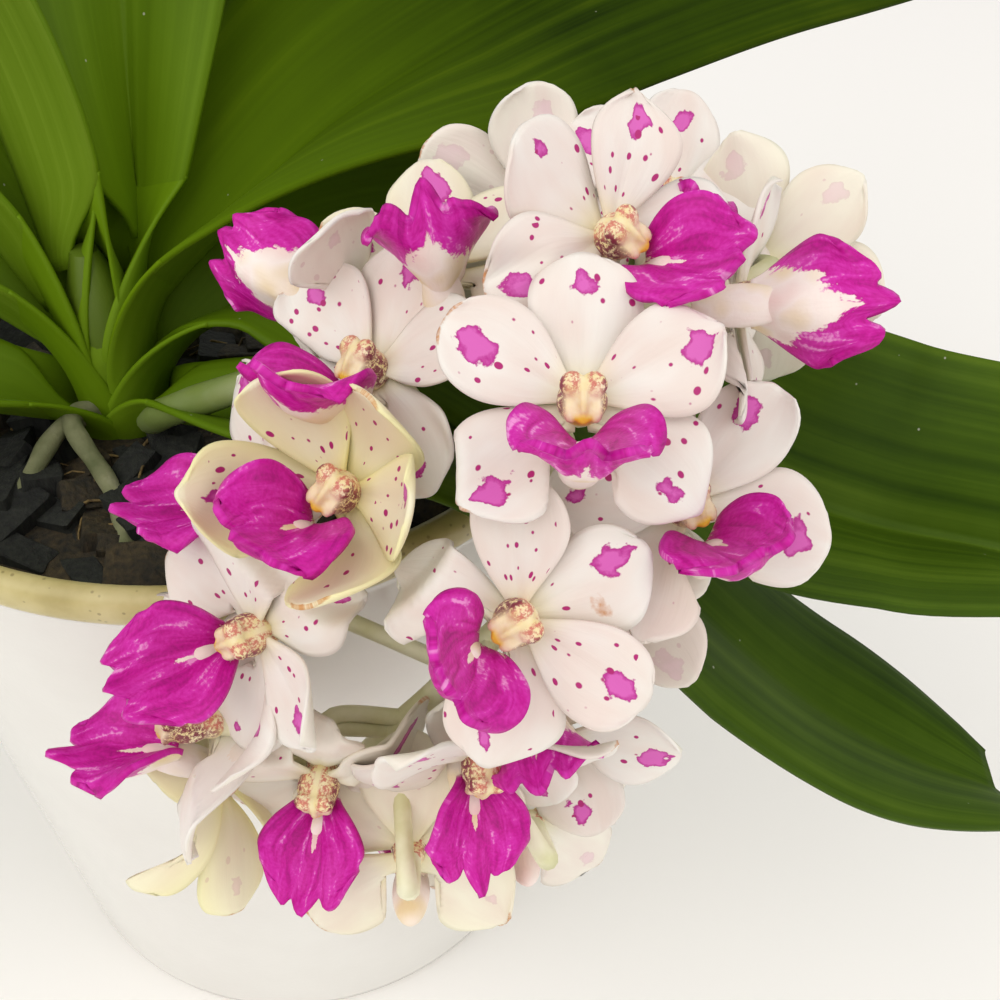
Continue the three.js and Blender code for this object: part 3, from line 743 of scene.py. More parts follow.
@dataclass(frozen=True)
class ColumnWax:
    """The column's waxy cream, mottled pink on the two pollen cells, yellow beak, maroon cheeks."""

    name: str = "column_wax_cream"
    pink: str = "c9705f"
    yellow: str = "ecc93c"
    maroon: str = "7a1f3a"

    def material(self) -> Material:
        """Builds the node material."""
        material, node = new_material(self.name)
        place = node("Attribute", {"attribute_name": "blade_mm"}).outputs["Vector"]
        split = node("SeparateXYZ", links={0: place})
        cloud = node("TexNoise", {"Scale": 0.5, "Detail": 2}, {"Vector": place})
        tone = node("ValToRGB", {"stops": [(0.35, "e8d79c"), (0.6, "f1e4bd")]}, {0: cloud})
        speckle = node("TexNoise", {"Scale": 2.0, "Detail": 4, "Roughness": 0.7}, {"Vector": place})
        side = node("Math", {"operation": "ABSOLUTE"}, {0: split.outputs["X"]})
        height = split.outputs["Y"]
        # Pink mottling where the pollen cells are, the beak, then cheeks low on both sides
        zones = (
            (self.pink, ((height, -0.4, 0.9, 1.0), (side, 0.25, 0.6, 1.0), (speckle, 0.44, 0.56, 0.95))),
            (self.yellow, ((height, -1.9, -2.6, 1.0), (side, 1.3, 0.8, 1.0))),
            (self.maroon, ((side, 1.75, 2.3, 1.0), (speckle, 0.42, 0.5, 0.95))),
        )
        for colour, limits in zones:
            share = None
            for source, start, end, most in limits:
                part = node("MapRange", {"span": (start, end, 0.0, most)}, {0: source})
                share = node("Math", {"operation": "MULTIPLY"}, {0: share, 1: part}) if share else part
            tone = node("Mix", {ABOVE: linear(colour)}, {FACTOR: share, BELOW: tone})
        skin = {
            "Roughness": 0.35,
            "Subsurface Weight": 0.15,
            "Subsurface Radius": (1.0, 0.7, 0.4),
            "Subsurface Scale": 0.0008,
        }
        return finished(material, tone, skin, (speckle, 0.25, 0.0003))


@dataclass(frozen=True)
class StudioPaper:
    """Matt studio paper, warm white, with barely visible cloudiness."""

    name: str = "studio_paper_matt"

    def material(self) -> Material:
        """Builds the node material."""
        material, node = new_material(self.name)
        place = node("TexCoord").outputs["Object"]
        cloud = node("TexNoise", {"Scale": 2.0, "Detail": 2}, {"Vector": place})
        tone = node("ValToRGB", {"stops": [(0.3, "f9f6f1"), (0.7, "fcf9f5")]}, {0: cloud})
        return finished(material, tone, {"Roughness": 0.9})


# Sub-assemblies


@dataclass
class Studio:
    """Pale floor, soft lights and the camera at the photograph's viewing angle."""

    eye: Point = (47.7, -173.4, 276.4)
    downward: float = 45.0
    lens: float = 44.55
    sensor: float = 36
    floor: float = 6

    def build(self) -> None:
        """Makes the floor, the lights, the world and the camera."""
        deselect_all()
        bpy.ops.mesh.primitive_plane_add(size=self.floor)
        floor = bpy.context.active_object
        floor.name = "studio_floor"
        floor.data.materials.append(StudioPaper().material())
        world = bpy.data.worlds.new("soft_daylight")
        world.use_nodes = True
        sky = world.node_tree.nodes["Background"]
        sky.inputs["Color"].default_value = linear("f8f8f8")
        sky.inputs["Strength"].default_value = 0.8
        scene = bpy.context.scene
        scene.world = world
        scene.view_settings.view_transform = "Standard"
        self.lamp("key_softbox", (-0.45, -0.5, 1.0), 1.1, 6.0)
        self.lamp("fill_softbox", (0.9, -0.3, 0.7), 0.9, 3.0)
        data = bpy.data.cameras.new("camera")
        data.lens = self.lens
        data.sensor_width = self.sensor
        data.clip_start = 0.01
        data.clip_end = 50
        camera = bpy.data.objects.new("camera", data)
        camera.location = Vector(self.eye) * MM
        camera.rotation_euler = (math.radians(90 - self.downward), 0, 0)
        scene.collection.objects.link(camera)
        scene.camera = camera

    def lamp(self, name: str, place: Point, size: float, power: float) -> None:
        """Hangs one softbox that looks at the plant: its place and side in metres, its power in watts."""
        data = bpy.data.lights.new(name, "AREA")
        data.shape = "SQUARE"
        data.size = size
        data.energy = power
        data.color = linear("fffcf8")[:3]
        lamp = bpy.data.objects.new(name, data)
        lamp.location = place
        aim = Vector((0.03, 0, 0.15)) - Vector(place)
        lamp.rotation_euler = aim.to_track_quat("-Z", "Y").to_euler()
        bpy.context.scene.collection.objects.link(lamp)


@dataclass
class GlazedPot:
    """Round glazed pot with a tan rim band and drain holes."""

    height: float = 150
    base_radius: float = 58
    wall_radius: float = 65
    rim_radius: float = 66.4
    rim_band: float = 5
    wall: float = 4
    floor: float = 6
    drain_holes: int = 3
    drain_radius: float = 5
    drain_circle: float = 28
    sides: int = 128

    def profile(self) -> list[tuple[float, float]]:
        """The pot's outline as radius and height, from under the middle to inside the middle."""
        foot, body, rim, top = self.base_radius, self.wall_radius, self.rim_radius, self.height
        band = top - self.rim_band
        inner_rim, inner_foot = rim - self.wall, foot - self.wall
        return [
            (foot - 2.4, 0), (foot - 1, 0.4), (foot - 0.2, 1.4), (foot, 3),
            ((foot + body) / 2, top * 0.5), (body - 0.2, band - 3), (body, band - 1.4),
            (body + 0.7, band - 0.7), (rim - 0.3, band + 0.1), (rim, band + 1), (rim, top - 1.8),
            (rim - 0.4, top - 0.8), (rim - 1.3, top - 0.1), (rim - 2.4, top),
            (inner_rim + 0.7, top - 0.3), (inner_rim + 0.1, top - 1.2), (inner_rim - 0.1, top - 3),
            (inner_foot + 1.4, self.floor + 4), (inner_foot - 0.6, self.floor + 0.6),
            (inner_foot - 3, self.floor),
        ]  # fmt: skip

    def build(self) -> None:
        """Draws the pot up from its foot, drills the drain holes and glazes the rim's band tan."""
        pot = drawn_up("pot_glazed", self.sides, self.profile())
        for k in range(self.drain_holes):
            angle = 2 * math.pi * (k + 0.5) / self.drain_holes
            self.drill(pot, self.drain_circle * math.cos(angle), self.drain_circle * math.sin(angle))
        rim_low = (self.height - self.rim_band - 0.9) * MM
        for polygon in pot.data.polygons:
            outer = math.hypot(polygon.center.x, polygon.center.y) > (self.rim_radius - self.wall) * MM
            polygon.material_index = int(polygon.center.z > rim_low and outer)
        materials = [WhiteGlaze().material(), TanGlaze().material()]
        seat(pot, materials, ("pot",), smooth=42)

    def drill(self, pot: Piece, x: float, y: float) -> None:
        """Drills one drain hole through the pot's floor at a place in millimetres."""
        deselect_all()
        depth = 4 * self.floor * MM
        bpy.ops.mesh.primitive_cylinder_add(
            vertices=32, radius=self.drain_radius * MM, depth=depth, location=(x * MM, y * MM, 0)
        )
        drill = bpy.context.active_object
        apply_modifier(pot, "BOOLEAN", object=drill, operation="DIFFERENCE", solver="EXACT")
        bpy.data.objects.remove(drill)


@dataclass
class BarkBed:
    """The planting medium: a bed under heaped bark and charcoal chips with a few fibres."""

    top: float = 136
    radius: float = 60.6
    foot_radius: float = 53.2
    foot: float = 6.3
    chips: int = 190
    patterns: int = 5
    fibres: int = 46
    fibre_steps: int = 7
    fibre_step: float = 2.6
    chopped: float = 0.16
    tilt: float = 0.7
    seed: int = 5
    draws: random.Random = field(init=False)

    def __post_init__(self) -> None:
        """Starts the bed's own repeatable random numbers."""
        self.draws = random.Random(self.seed)

    def heap_height(self, x: float, y: float) -> float:
        """The gently lumpy height that the chips lie at, at a place, all in millimetres."""
        return self.top - 1.2 + 1.1 * math.sin(0.16 * x + 1.3) + 1.1 * math.cos(0.19 * y - 0.4)

    def build(self) -> None:
        """Makes the bed, its chips and its fibres."""
        bark = CharredBark("orchid_bark_damp", "14130c", "4a3d24").material()
        charcoal = CharredBark("charcoal_chopped", "0d0e0c", "2c2e26").material()
        fibre = CharredBark("coconut_fibre", "3a2c14", "a08550").material()
        seat(self.bed(), [bark], ("medium",))
        seat(self.chip_heap([bark, charcoal]), [bark, charcoal], smooth=35)
        seat(self.fibre_heap(), [fibre])

    def bed(self) -> Piece:
        """The plug that fills the pot under the chips."""
        rings = [(self.foot_radius, self.foot), (self.radius, self.top - 2), (self.radius * 0.98, self.top)]
        rings += [(self.radius * share, self.top) for share in (0.86, 0.72, 0.58, 0.44, 0.3, 0.16, 0.06)]
        return drawn_up("bark_bed", 64, rings)

    def chip(self) -> Piece:
        """One chip: a block with chopped faces and softened edges."""
        deselect_all()
        bpy.ops.mesh.primitive_cube_add(size=1)
        chip = bpy.context.active_object
        bpy.ops.object.mode_set(mode="EDIT")
        bpy.ops.mesh.select_all(action="SELECT")
        bpy.ops.mesh.subdivide(number_cuts=1)
        bpy.ops.object.mode_set(mode="OBJECT")
        for vertex in chip.data.vertices:
            vertex.co *= 1 + self.chopped * (self.draws.random() - 0.5)
        apply_modifier(chip, "BEVEL", width=0.05, segments=1)
        return chip

    def chip_heap(self, skins: list[Material]) -> Piece:
        """Chips scattered over the bed, seated into it, in one piece, two in three of the last skin."""
        patterns = [self.chip() for _ in range(self.patterns)]
        heap = []
        for k in range(self.chips):
            chip = copied(patterns[k % len(patterns)])
            long = 6 + 9 * self.draws.random()
            broad = long * (0.4 + 0.3 * self.draws.random())
            high = 2.5 + 2.5 * self.draws.random()
            chip.scale = (long * MM, broad * MM, high * MM)
            tilts = [self.tilt * (self.draws.random() - 0.5) for _ in range(2)]
            chip.rotation_euler = (*tilts, ROUND * self.draws.random())
            reach = (self.radius - 8) * math.sqrt((k + 0.5) / self.chips)
            x, y = reach * math.cos(2.4 * k), reach * math.sin(2.4 * k)
            z = self.heap_height(x, y) + 0.2 + 1.6 * self.draws.random()
            chip.location = (x * MM, y * MM, z * MM)
            dress(chip, skins)
            for polygon in chip.data.polygons:
                polygon.material_index = k % 3 > 0
            heap.append(chip)
        for pattern in patterns:
            bpy.data.objects.remove(pattern)
        return joined("bark_chips", heap)

    def fibre_heap(self) -> Piece:
        """Loose coconut fibres that lie over the chips."""
        fibres = []
        for k in range(self.fibres):
            reach = (self.radius - 16) * math.sqrt(self.draws.random())
            angle = ROUND * self.draws.random()
            x, y = reach * math.cos(angle), reach * math.sin(angle)
            heading = ROUND * self.draws.random()
            points = []
            for step in range(self.fibre_steps):
                points.append([x, y, self.heap_height(x, y) + 2.4 + 1.1 * math.sin(step * 1.7 + k)])
                heading += self.tilt * (self.draws.random() - 0.5)
                x += self.fibre_step * math.cos(heading)
                y += self.fibre_step * math.sin(heading)
            radii = np.linspace(0.32, 0.12, self.fibre_steps)
            fibres.append(tube(f"fibre_{k}", np.array(points), radii, 1))
        return joined("coconut_fibres", fibres)


@dataclass
class StemAndRoots:
    """The short stem and the roots that creep over the bark."""

    foot: float = 112
    top: float = 168
    radius: float = 7
    root_radius: float = 1.8
    roots: tuple[tuple[Point, ...], ...] = (
        ((-18, -13, 139), (-24, -23, 142), (-28, -34, 138.5), (-31, -44, 136)),
        ((-19, -8, 138), (-30, -6, 142), (-41, 1, 138.5), (-51, 6, 136.5)),
        ((-15, -6, 138), (-9, 10, 142), (-11, 28, 138.5), (-3, 44, 136.5)),
        ((-19, -14, 139), (-22, -22, 143), (-14, -33, 138), (-9, -46, 136)),
    )

    def build(self) -> None:
        """Makes the stem and its roots."""
        heights = np.array([self.foot, 125, 138, 147, 156, 162, self.top])
        radii = np.array([0.7, 0.86, 1.0, 0.94, 0.8, 0.6, 0.3]) * self.radius
        stem = tube("stem", rows_of(*STEM, heights), radii, 6)
        green = GreenStalk("stem_green_woody", "28350a", "485512").material()
        velamen = RootVelamen().material()
        roots = []
        for k, path in enumerate(self.roots):
            line = SmoothPath(list(path))
            share = np.linspace(0, 1, 40)
            radius = self.root_radius * (1 - 0.25 * share) * (1 + 0.06 * np.sin(31 * share + k))
            radius[-3:] *= np.array([0.92, 0.75, 0.4])
            roots.append(tube(f"root_{k}", line.point(share), radius, 4))
        seat(stem, [green], ("stem_and_roots",))
        seat(joined("aerial_roots", roots), [velamen])


@dataclass
class StrapLeaf:
    """One leathery strap leaf, folded at its base, with two unequal lobes at its tip."""

    name: str
    half: float
    fold: tuple[float, ...]
    tip: tuple[float, float]
    wide: tuple[Point, Point]
    path: tuple[Point, ...]
    # A deep leaf wears the darker copy of the upper skin: painted shade on that leaf
    deep: bool = False
    thick: float = 1.8
    rows: int = 90
    columns: int = 26
    covered: float = 0.07

    def __post_init__(self) -> None:
        """Draws the leaf's midline and finds which way its upper side faces."""
        self.line = SmoothPath(list(self.path))
        _, raised = self.cross_section(np.array([0.3]), self.line.along(0.3))
        self.upward = math.copysign(1.0, raised[0, 2])

    def cross_section(self, s: Numbers, along: Numbers) -> tuple[Numbers, Numbers]:
        """The directions across the blade and out of it, from the midline's direction at shares s."""
        start, end = np.array(self.wide[0], float), np.array(self.wide[1], float)
        wide = start + (end - start) * (s * s)[:, None]
        wide = unit(wide - along * np.sum(wide * along, axis=1, keepdims=True))
        return wide, np.cross(wide, along)

    def half_width(self, s: Numbers) -> Numbers:
        """Half the blade's width in millimetres along the leaf."""
        base = 0.42 + 0.58 * np.sin(np.pi / 2 * np.minimum(1, s / 0.35))
        tip = 1 - 0.62 * (np.maximum(0, s - 0.8) / 0.2) ** 2
        return self.half * base * tip

    def surface(self, s: Numbers, t: Numbers) -> Numbers:
        """Points of the blade's middle for shares along and across.

        Args:
            s: 0 at the stem to 1 at the tip.
            t: -1 to 1 across.

        Returns:
            Points in millimetres, one to a row.
        """
        centre, along = self.line.point(s), self.line.along(s)
        wide, up = self.cross_section(s, along)
        up = up * self.upward
        fold = np.radians(np.interp(s, np.linspace(0, 1, len(self.fold)), self.fold))
        whole = self.half_width(s)
        half = whole * t
        raised = np.sqrt(half**2 + 1.2**2) - 1.2
        arch = 0.045 * whole * np.sin(np.pi * np.abs(t)) + 0.35 * np.sin(26 * s) * t**4
        lobe = np.where(t > 0, self.tip[0], self.tip[1]) * np.abs(t) * (1 - 0.3 * np.abs(t) ** 5)
        lobe *= smoothstep(0.9, 1, s)
        point = centre + wide * (half * np.cos(fold))[:, None]
        point += up * (raised * np.sin(fold) + arch)[:, None]
        return point + along * lobe[:, None]

    def build(self, skins: list[Material]) -> None:
        """Makes the blade in the materials of its upper and lower skin."""
        number = sum(map(ord, self.name)) % 17

        def place(s: Numbers, t: Numbers) -> Numbers:
            """The place on the blade in millimetres, and the leaf's own number."""
            return rows_of(t * self.half, s * self.line.length, 7.3 * number)

        def pinched(s: Numbers, t: Numbers) -> Numbers:
            """The blade, narrow where the sheath covers its base."""
            return self.surface(s, side * t * (0.3 + 0.7 * smoothstep(0, self.covered, s)))

        middle, corner, ahead = self.surface(np.array([0.5, 0.5, 0.51]), np.array([0.0, 0.02, 0.0]))
        side = 1 if np.cross(corner - middle, ahead - middle)[2] > 0 else -1
        leaf = drawn_grid(f"{self.name}_blade", self.rows, self.columns, pinched, {"blade_mm": place})
        thicken(leaf, skins, self.thick, plump(0.7, 5, 0.5, 0.97), 0.25)
        seat(leaf, skins, (self.name,))


LEAVES = (
    StrapLeaf("leaf_front_right", 17, (58, 14, 8, 16), (7, -3), ((-0.4, -0.8, 0.1), (-0.2, -1, 0)),
              ((-12, -15.5, 139.5), (8, -28, 147), (28, -37, 153), (47, -42, 154), (64, -44.5, 142),
               (79, -48, 125), (97, -53, 109), (115, -57, 99), (132, -59, 92))),
    StrapLeaf("leaf_right", 30, (58, 23, 10, 30, 46, 36, 24), (8, -4), ((0, -1, -0.3), (-0.1, -1, -0.3)),
              ((-11, -8, 146), (13, -3, 156.5), (39, -10, 163), (61, -20, 156.5), (82, -30, 141),
               (104, -37, 135), (127, -41, 132), (157, -43, 122), (189, -43, 105))),
    StrapLeaf("leaf_upper_right", 30, (54, 16, 14, 12), (10, -5),
              ((0.15, -0.85, -0.25), (0.45, -0.45, -0.8)),
              ((-10.5, -8, 154.5), (5, -2, 168.5), (26, 8, 183), (56, 25, 194), (90, 44, 201),
               (126, 62, 206), (160, 77, 203)), True),
    StrapLeaf("leaf_middle", 18.5, (58, 30, 18, 18), (6, -3), ((0.9, 0.4, 0), (1, -0.1, 0)),
              ((-10, -3, 166), (-9.5, 8, 191), (-8, 22, 216), (-5, 42, 239), (-0.5, 66, 256),
               (6, 91, 262))),
    StrapLeaf("leaf_low_left", 18, (58, 20, 14, 14), (7, -4), ((0, -1, 0.1), (0, -1, 0.15)),
              ((-24, -16, 139), (-46, -26, 151), (-73, -33, 153), (-103, -37, 141),
               (-131, -37, 122), (-155, -34, 100))),
    StrapLeaf("leaf_left", 21, (58, 20, 14, 14), (7, -4), ((0, -1, 0.2), (0, -1, 0.15)),
              ((-24, -11, 149), (-48, -9, 167), (-81, -3, 178), (-119, 7, 175), (-155, 19, 160),
               (-183, 29, 141))),
    StrapLeaf("leaf_middle_left", 23, (58, 18, 12, 12), (8, -4), ((0, -0.9, 0.3), (0, -0.9, 0.3)),
              ((-24.5, -10.5, 157), (-44, 0, 181), (-75, 16, 200), (-113, 32, 206), (-153, 46, 197),
               (-185, 58, 180))),
    StrapLeaf("leaf_upper_left", 26.5, (58, 18, 12, 12), (6, -3), ((0.3, -0.9, 0.3), (0.6, -0.1, 0.5)),
              ((-22, -10, 164), (-31.5, 4, 195), (-49, 22, 221), (-76.5, 44, 240), (-108, 67, 246),
               (-139, 89, 241))),
)


@dataclass
class LeafFan:
    """All leaves, with their clasping bases around the stem."""

    leaves: tuple[StrapLeaf, ...] = LEAVES
    high: float = 160
    thick: float = 1.1
    lowest: float = 140
    clasp: float = 7.5
    clasp_narrowing: float = 0.045

    def build(self) -> None:
        """Makes each leaf and its sheath."""
        upper = LeafCuticle("leaf_cuticle_upper", "2c4305", "40590b", "58711a", 0.52).material()
        # A darker, less glossy copy of the upper skin, painted shade for the deep leaves
        deep = LeafCuticle("leaf_cuticle_deep", "1a2a00", "2c3f00", "4a5a06", 0.75, 0.05).material()
        lower = LeafCuticle("leaf_cuticle_lower", "43590f", "54691b", "72862f", 0.6).material()
        for leaf in self.leaves:
            skins = [deep if leaf.deep else upper, lower]
            leaf.build(skins)
            seat(self.sheath(leaf, skins), skins)

    def sheath(self, leaf: StrapLeaf, skins: list[Material]) -> Piece:
        """The leaf's base: it clasps the stem below and opens into the folded blade.

        Args:
            leaf: the leaf that it belongs to.
            skins: the materials of its inside and its outside.

        Returns:
            The sheath as a thick sheet.
        """
        start = leaf.line.point(0.02)[0]
        # Sheaths of the high leaves are longer and go further round
        drop, wrap = (15.0, 1.9) if start[2] < self.high else (24.0, 3.0)
        heading = leaf.line.point(0.2)[0] - start
        facing = math.atan2(heading[1], heading[0])
        edges = leaf.surface(np.full(2, leaf.covered), np.array([-1.0, 1.0]))
        angles = np.arctan2(edges[:, 1] - STEM[1], edges[:, 0] - STEM[0])
        side = math.copysign(1.0, math.sin(angles[1] - angles[0]))
        layer = self.clasp - (start[2] - self.lowest) * self.clasp_narrowing

        def surface(h: Numbers, t: Numbers) -> Numbers:
            """Points from the clasping foot, h = 0, to the folded blade, h = 1."""
            angle = facing + side * t * wrap
            x, y = STEM[0] + layer * np.cos(angle), STEM[1] + layer * np.sin(angle)
            ring = rows_of(x, y, start[2] - drop + (drop + 2) * h)
            blade = leaf.surface(leaf.covered * np.maximum(h, 0.2), t)
            mix = smoothstep(0.25, 1.0, h)[:, None]
            return ring * (1 - mix) + blade * mix

        def place(h: Numbers, t: Numbers) -> Numbers:
            """The place on the sheath in millimetres."""
            return rows_of(t * leaf.half * 0.6, h * drop - drop, 3.1)

        sheath = drawn_grid(f"{leaf.name}_sheath", 24, 24, surface, {"blade_mm": place})
        thicken(sheath, skins, self.thick, plump(0.6, 4), 0.3)
        return sheath


@dataclass(frozen=True)
class BloomSpec:
    """One flower's place on the flower stem and its own looks.

    The first six are how far along the stem, the angle around it, the reach from it, then how far
    the face leans to the stem's tip, swings around the stem and rolls (millimetres and degrees).
    """

    name: str
    along: float
    around: float
    reach: float
    lean: float
    swing: float
    roll: float
    blotches: tuple[float, float, float, float, float] = (1.4, 1.9, 1.9, 0.8, 1.2)
    specks: float = 0.45
    cream: float = 0.0
    cup: float = 0.0
    lip: float = 1.0
    sac: float = 1.0
    stain: float = 0.0


BLOOMS = (
    BloomSpec("bloom_front", 87, -3, 29, 3, 3, -12, (1.2, 2.1, 2.0, 0.8, 1.9), 0.7),
    BloomSpec("bloom_upper_front", 78, -37, 29, 33, 18, 17, (0.9, 1.5, 1.7, 1.1, 0.0), 0.75),
    BloomSpec("bloom_left_front", 62, 13, 21, -13, -29, -108, (1.7, 1.5, 1.2, 0.9, 1.3), 0.75),
    BloomSpec("bloom_left_cupped", 60, 38, 31, -1, -40, -127, (0.0, 1.3, 1.5, 0.0, 0.9), 0.65, 0.75, 0.75),
    BloomSpec("bloom_lower_front", 105, 2, 25, -1, -3, -32, (1.8, 1.7, 0.8, 0.9, 0.0), 0.75, stain=0.7),
    BloomSpec("bloom_left_side", 128, 51, 28, 16, -35, -21, (1.3, 1.5, 0.0, 0.6, 0.0), 0.45),
    BloomSpec("bloom_left_low", 142, 48, 26, 17, 2, 7, (0.8, 1.2, 1.4, 0.0, 1.0), 0.2, lip=0.92),
    BloomSpec("bloom_low_front", 139, 14, 13, 21, -47, 38, (0.0, 1.0, 1.2, 0.0, 0.0), 0.2, 0.1, lip=0.9),
    BloomSpec("bloom_low_middle", 122, -35, 15, 24, -15, 35, lip=0.84),
    BloomSpec("bloom_right_front", 93, -40, 21, -5, 32, 30, (1.2, 1.8, 0.8, 2.0, 0.0), 0.3),
    BloomSpec("bloom_right_side", 83, -64, 29, 28, -19, -72, (1.5, 1.7, 1.7, 0.6, 1.0), 0.3),
    BloomSpec("bloom_top_left", 67, -28, 18, -1, -6, -63, (2.2, 2.0, 2.2, 0.8, 1.6), 0.35, 0.35),
    BloomSpec("bloom_left_back", 55, -25, 12, -49, -75, -111, sac=0.3),
    BloomSpec("bloom_left_inner", 46, 43, 24, -29, -60, -143, sac=0.6),
    BloomSpec("bloom_top_right", 81, -91, 35, -20, -58, 93, (1.4, 1.6, 1.5, 0.6, 1.2), 0.3, 0.15),
    BloomSpec("bloom_top_back", 69, -92, 22, -38, -65, 80),
    BloomSpec("bloom_tip_left", 151, 43, 18, 77, 70, -121, (0.0, 1.0, 1.0, 0.0, 0.0), 0.1, 0.65, 0.3),
    BloomSpec("bloom_tip_back", 141, -57, 15, 15, -137, -40, (0.8, 1.2, 1.2, 0.0, 0.6), 0.2, 0.25),
    BloomSpec("bloom_low_right", 118, -86, 15, 10, 65, -115),
    BloomSpec("bloom_right_low", 102, -67, 8, -11, -88, 47),
    BloomSpec("bloom_low_back", 131, -101, 22, 16, -104, -35),
    BloomSpec("bloom_upper_back", 76, -87, 30, 8, 70, -58),
)


@dataclass(frozen=True)
class FlowerFrame:
    """A flower's own frame: x right, y to the upper sepal, z to the front, in millimetres."""

    share: float
    reach: float
    radius: float
    centre: Numbers
    axes: Numbers

    def to_part(self, points: Numbers) -> Numbers:
        """Points in the flower's frame, in the part's frame."""
        return points @ self.axes + self.centre

    def to_flower(self, points: Numbers) -> Numbers:
        """Points in the part's frame, in the flower's frame."""
        return (points - self.centre) @ self.axes.T


@dataclass
class FlowerStem:
    """The arching flower stem with a short stalk to each flower."""

    path: tuple[Point, ...] = (
        (-10, -19, 141), (-3, -27, 150), (11, -33, 160), (28, -37, 168), (44, -41, 171), (54, -49, 168),
        (56, -58, 161), (51, -66, 151), (41, -72, 141), (30, -75, 129), (20, -77, 116),
    )  # fmt: skip
    radius: float = 2.6
    tip_radius: float = 1.6
    stalk_radius: float = 1.25
    lead: float = 7
    flower_back: float = 2.4
    flower_radius: float = 17.5

    def __post_init__(self) -> None:
        """Draws the stem's midline."""
        self.line = SmoothPath(list(self.path))

    def frame(self, spec: BloomSpec) -> FlowerFrame:
        """Places one flower.

        Args:
            spec: the flower's row in the table.

        Returns:
            The flower's own frame.
        """
        share = min(1.0, spec.along / self.line.length)
        root, tangent = self.line.point(share)[0], self.line.along(share)[0]
        front = np.array([0.0, -1.0, 1.0])
        front = unit(front - tangent * (front @ tangent))
        radial = turn_about(front, tangent, spec.around)
        lean = math.radians(spec.lean)
        z = turn_about(radial, tangent, spec.swing) * math.cos(lean) + tangent * math.sin(lean)
        z = unit(z)
        y = -tangent
        y = turn_about(unit(y - z * (y @ z)), z, spec.roll)
        axes = np.stack([np.cross(y, z), y, z])
        radius = self.flower_radius * (1 - 0.3 * spec.cup)
        return FlowerFrame(share, spec.reach, radius, root + radial * spec.reach, axes)

    def build(self, frames: list[FlowerFrame]) -> None:
        """Makes the stem and its stalks, one to each flower's frame, as one piece."""
        share = np.linspace(0, 1, 90)
        radius = self.radius + (self.tip_radius - self.radius) * share
        parts = [tube("rachis", self.line.point(share), radius * (1 + 0.03 * np.sin(60 * share)), 5)]
        for flower in frames:
            start = self.line.point(max(0.0, flower.share - self.lead / self.line.length))[0]
            straight = min(7.0, 0.45 * flower.reach)
            depths = np.array([-self.flower_back - straight, -self.flower_back + 0.6])
            line = SmoothPath([start, *flower.to_part(rows_of(0, 0, depths))])
            step = np.linspace(0, 1, 16)
            swell = self.stalk_radius * (0.95 + 0.35 * smoothstep(0.55, 0.9, step))
            parts.append(tube("stalk", line.point(step), swell, 3))
        stem = joined("flower_stem_fine", parts)
        green = GreenStalk("flower_stalk_fleshy", "d6d3a2", "ece9ca").material()
        seat(stem, [green], ("flower_stem",))


@dataclass(frozen=True)
class SegmentShape:
    """One petal or sepal: its angle, length, half width, lift and cup, as in the part."""

    part: Part
    angle: float
    length: float
    half: float
    lift: float
    cup: float


SEGMENTS = (
    SegmentShape(Part.UPPER_SEPAL, 90, 15.5, 6.2, -0.75, -0.3),
    SegmentShape(Part.RIGHT_PETAL, 28, 16, 5.9, 0.5, 1.1),
    SegmentShape(Part.LEFT_PETAL, 152, 16, 5.9, 0.5, 1.1),
    SegmentShape(Part.RIGHT_SEPAL, -42, 16.5, 6.8, -0.75, -0.3),
    SegmentShape(Part.LEFT_SEPAL, -138, 16.5, 6.8, -0.75, -0.3),
)


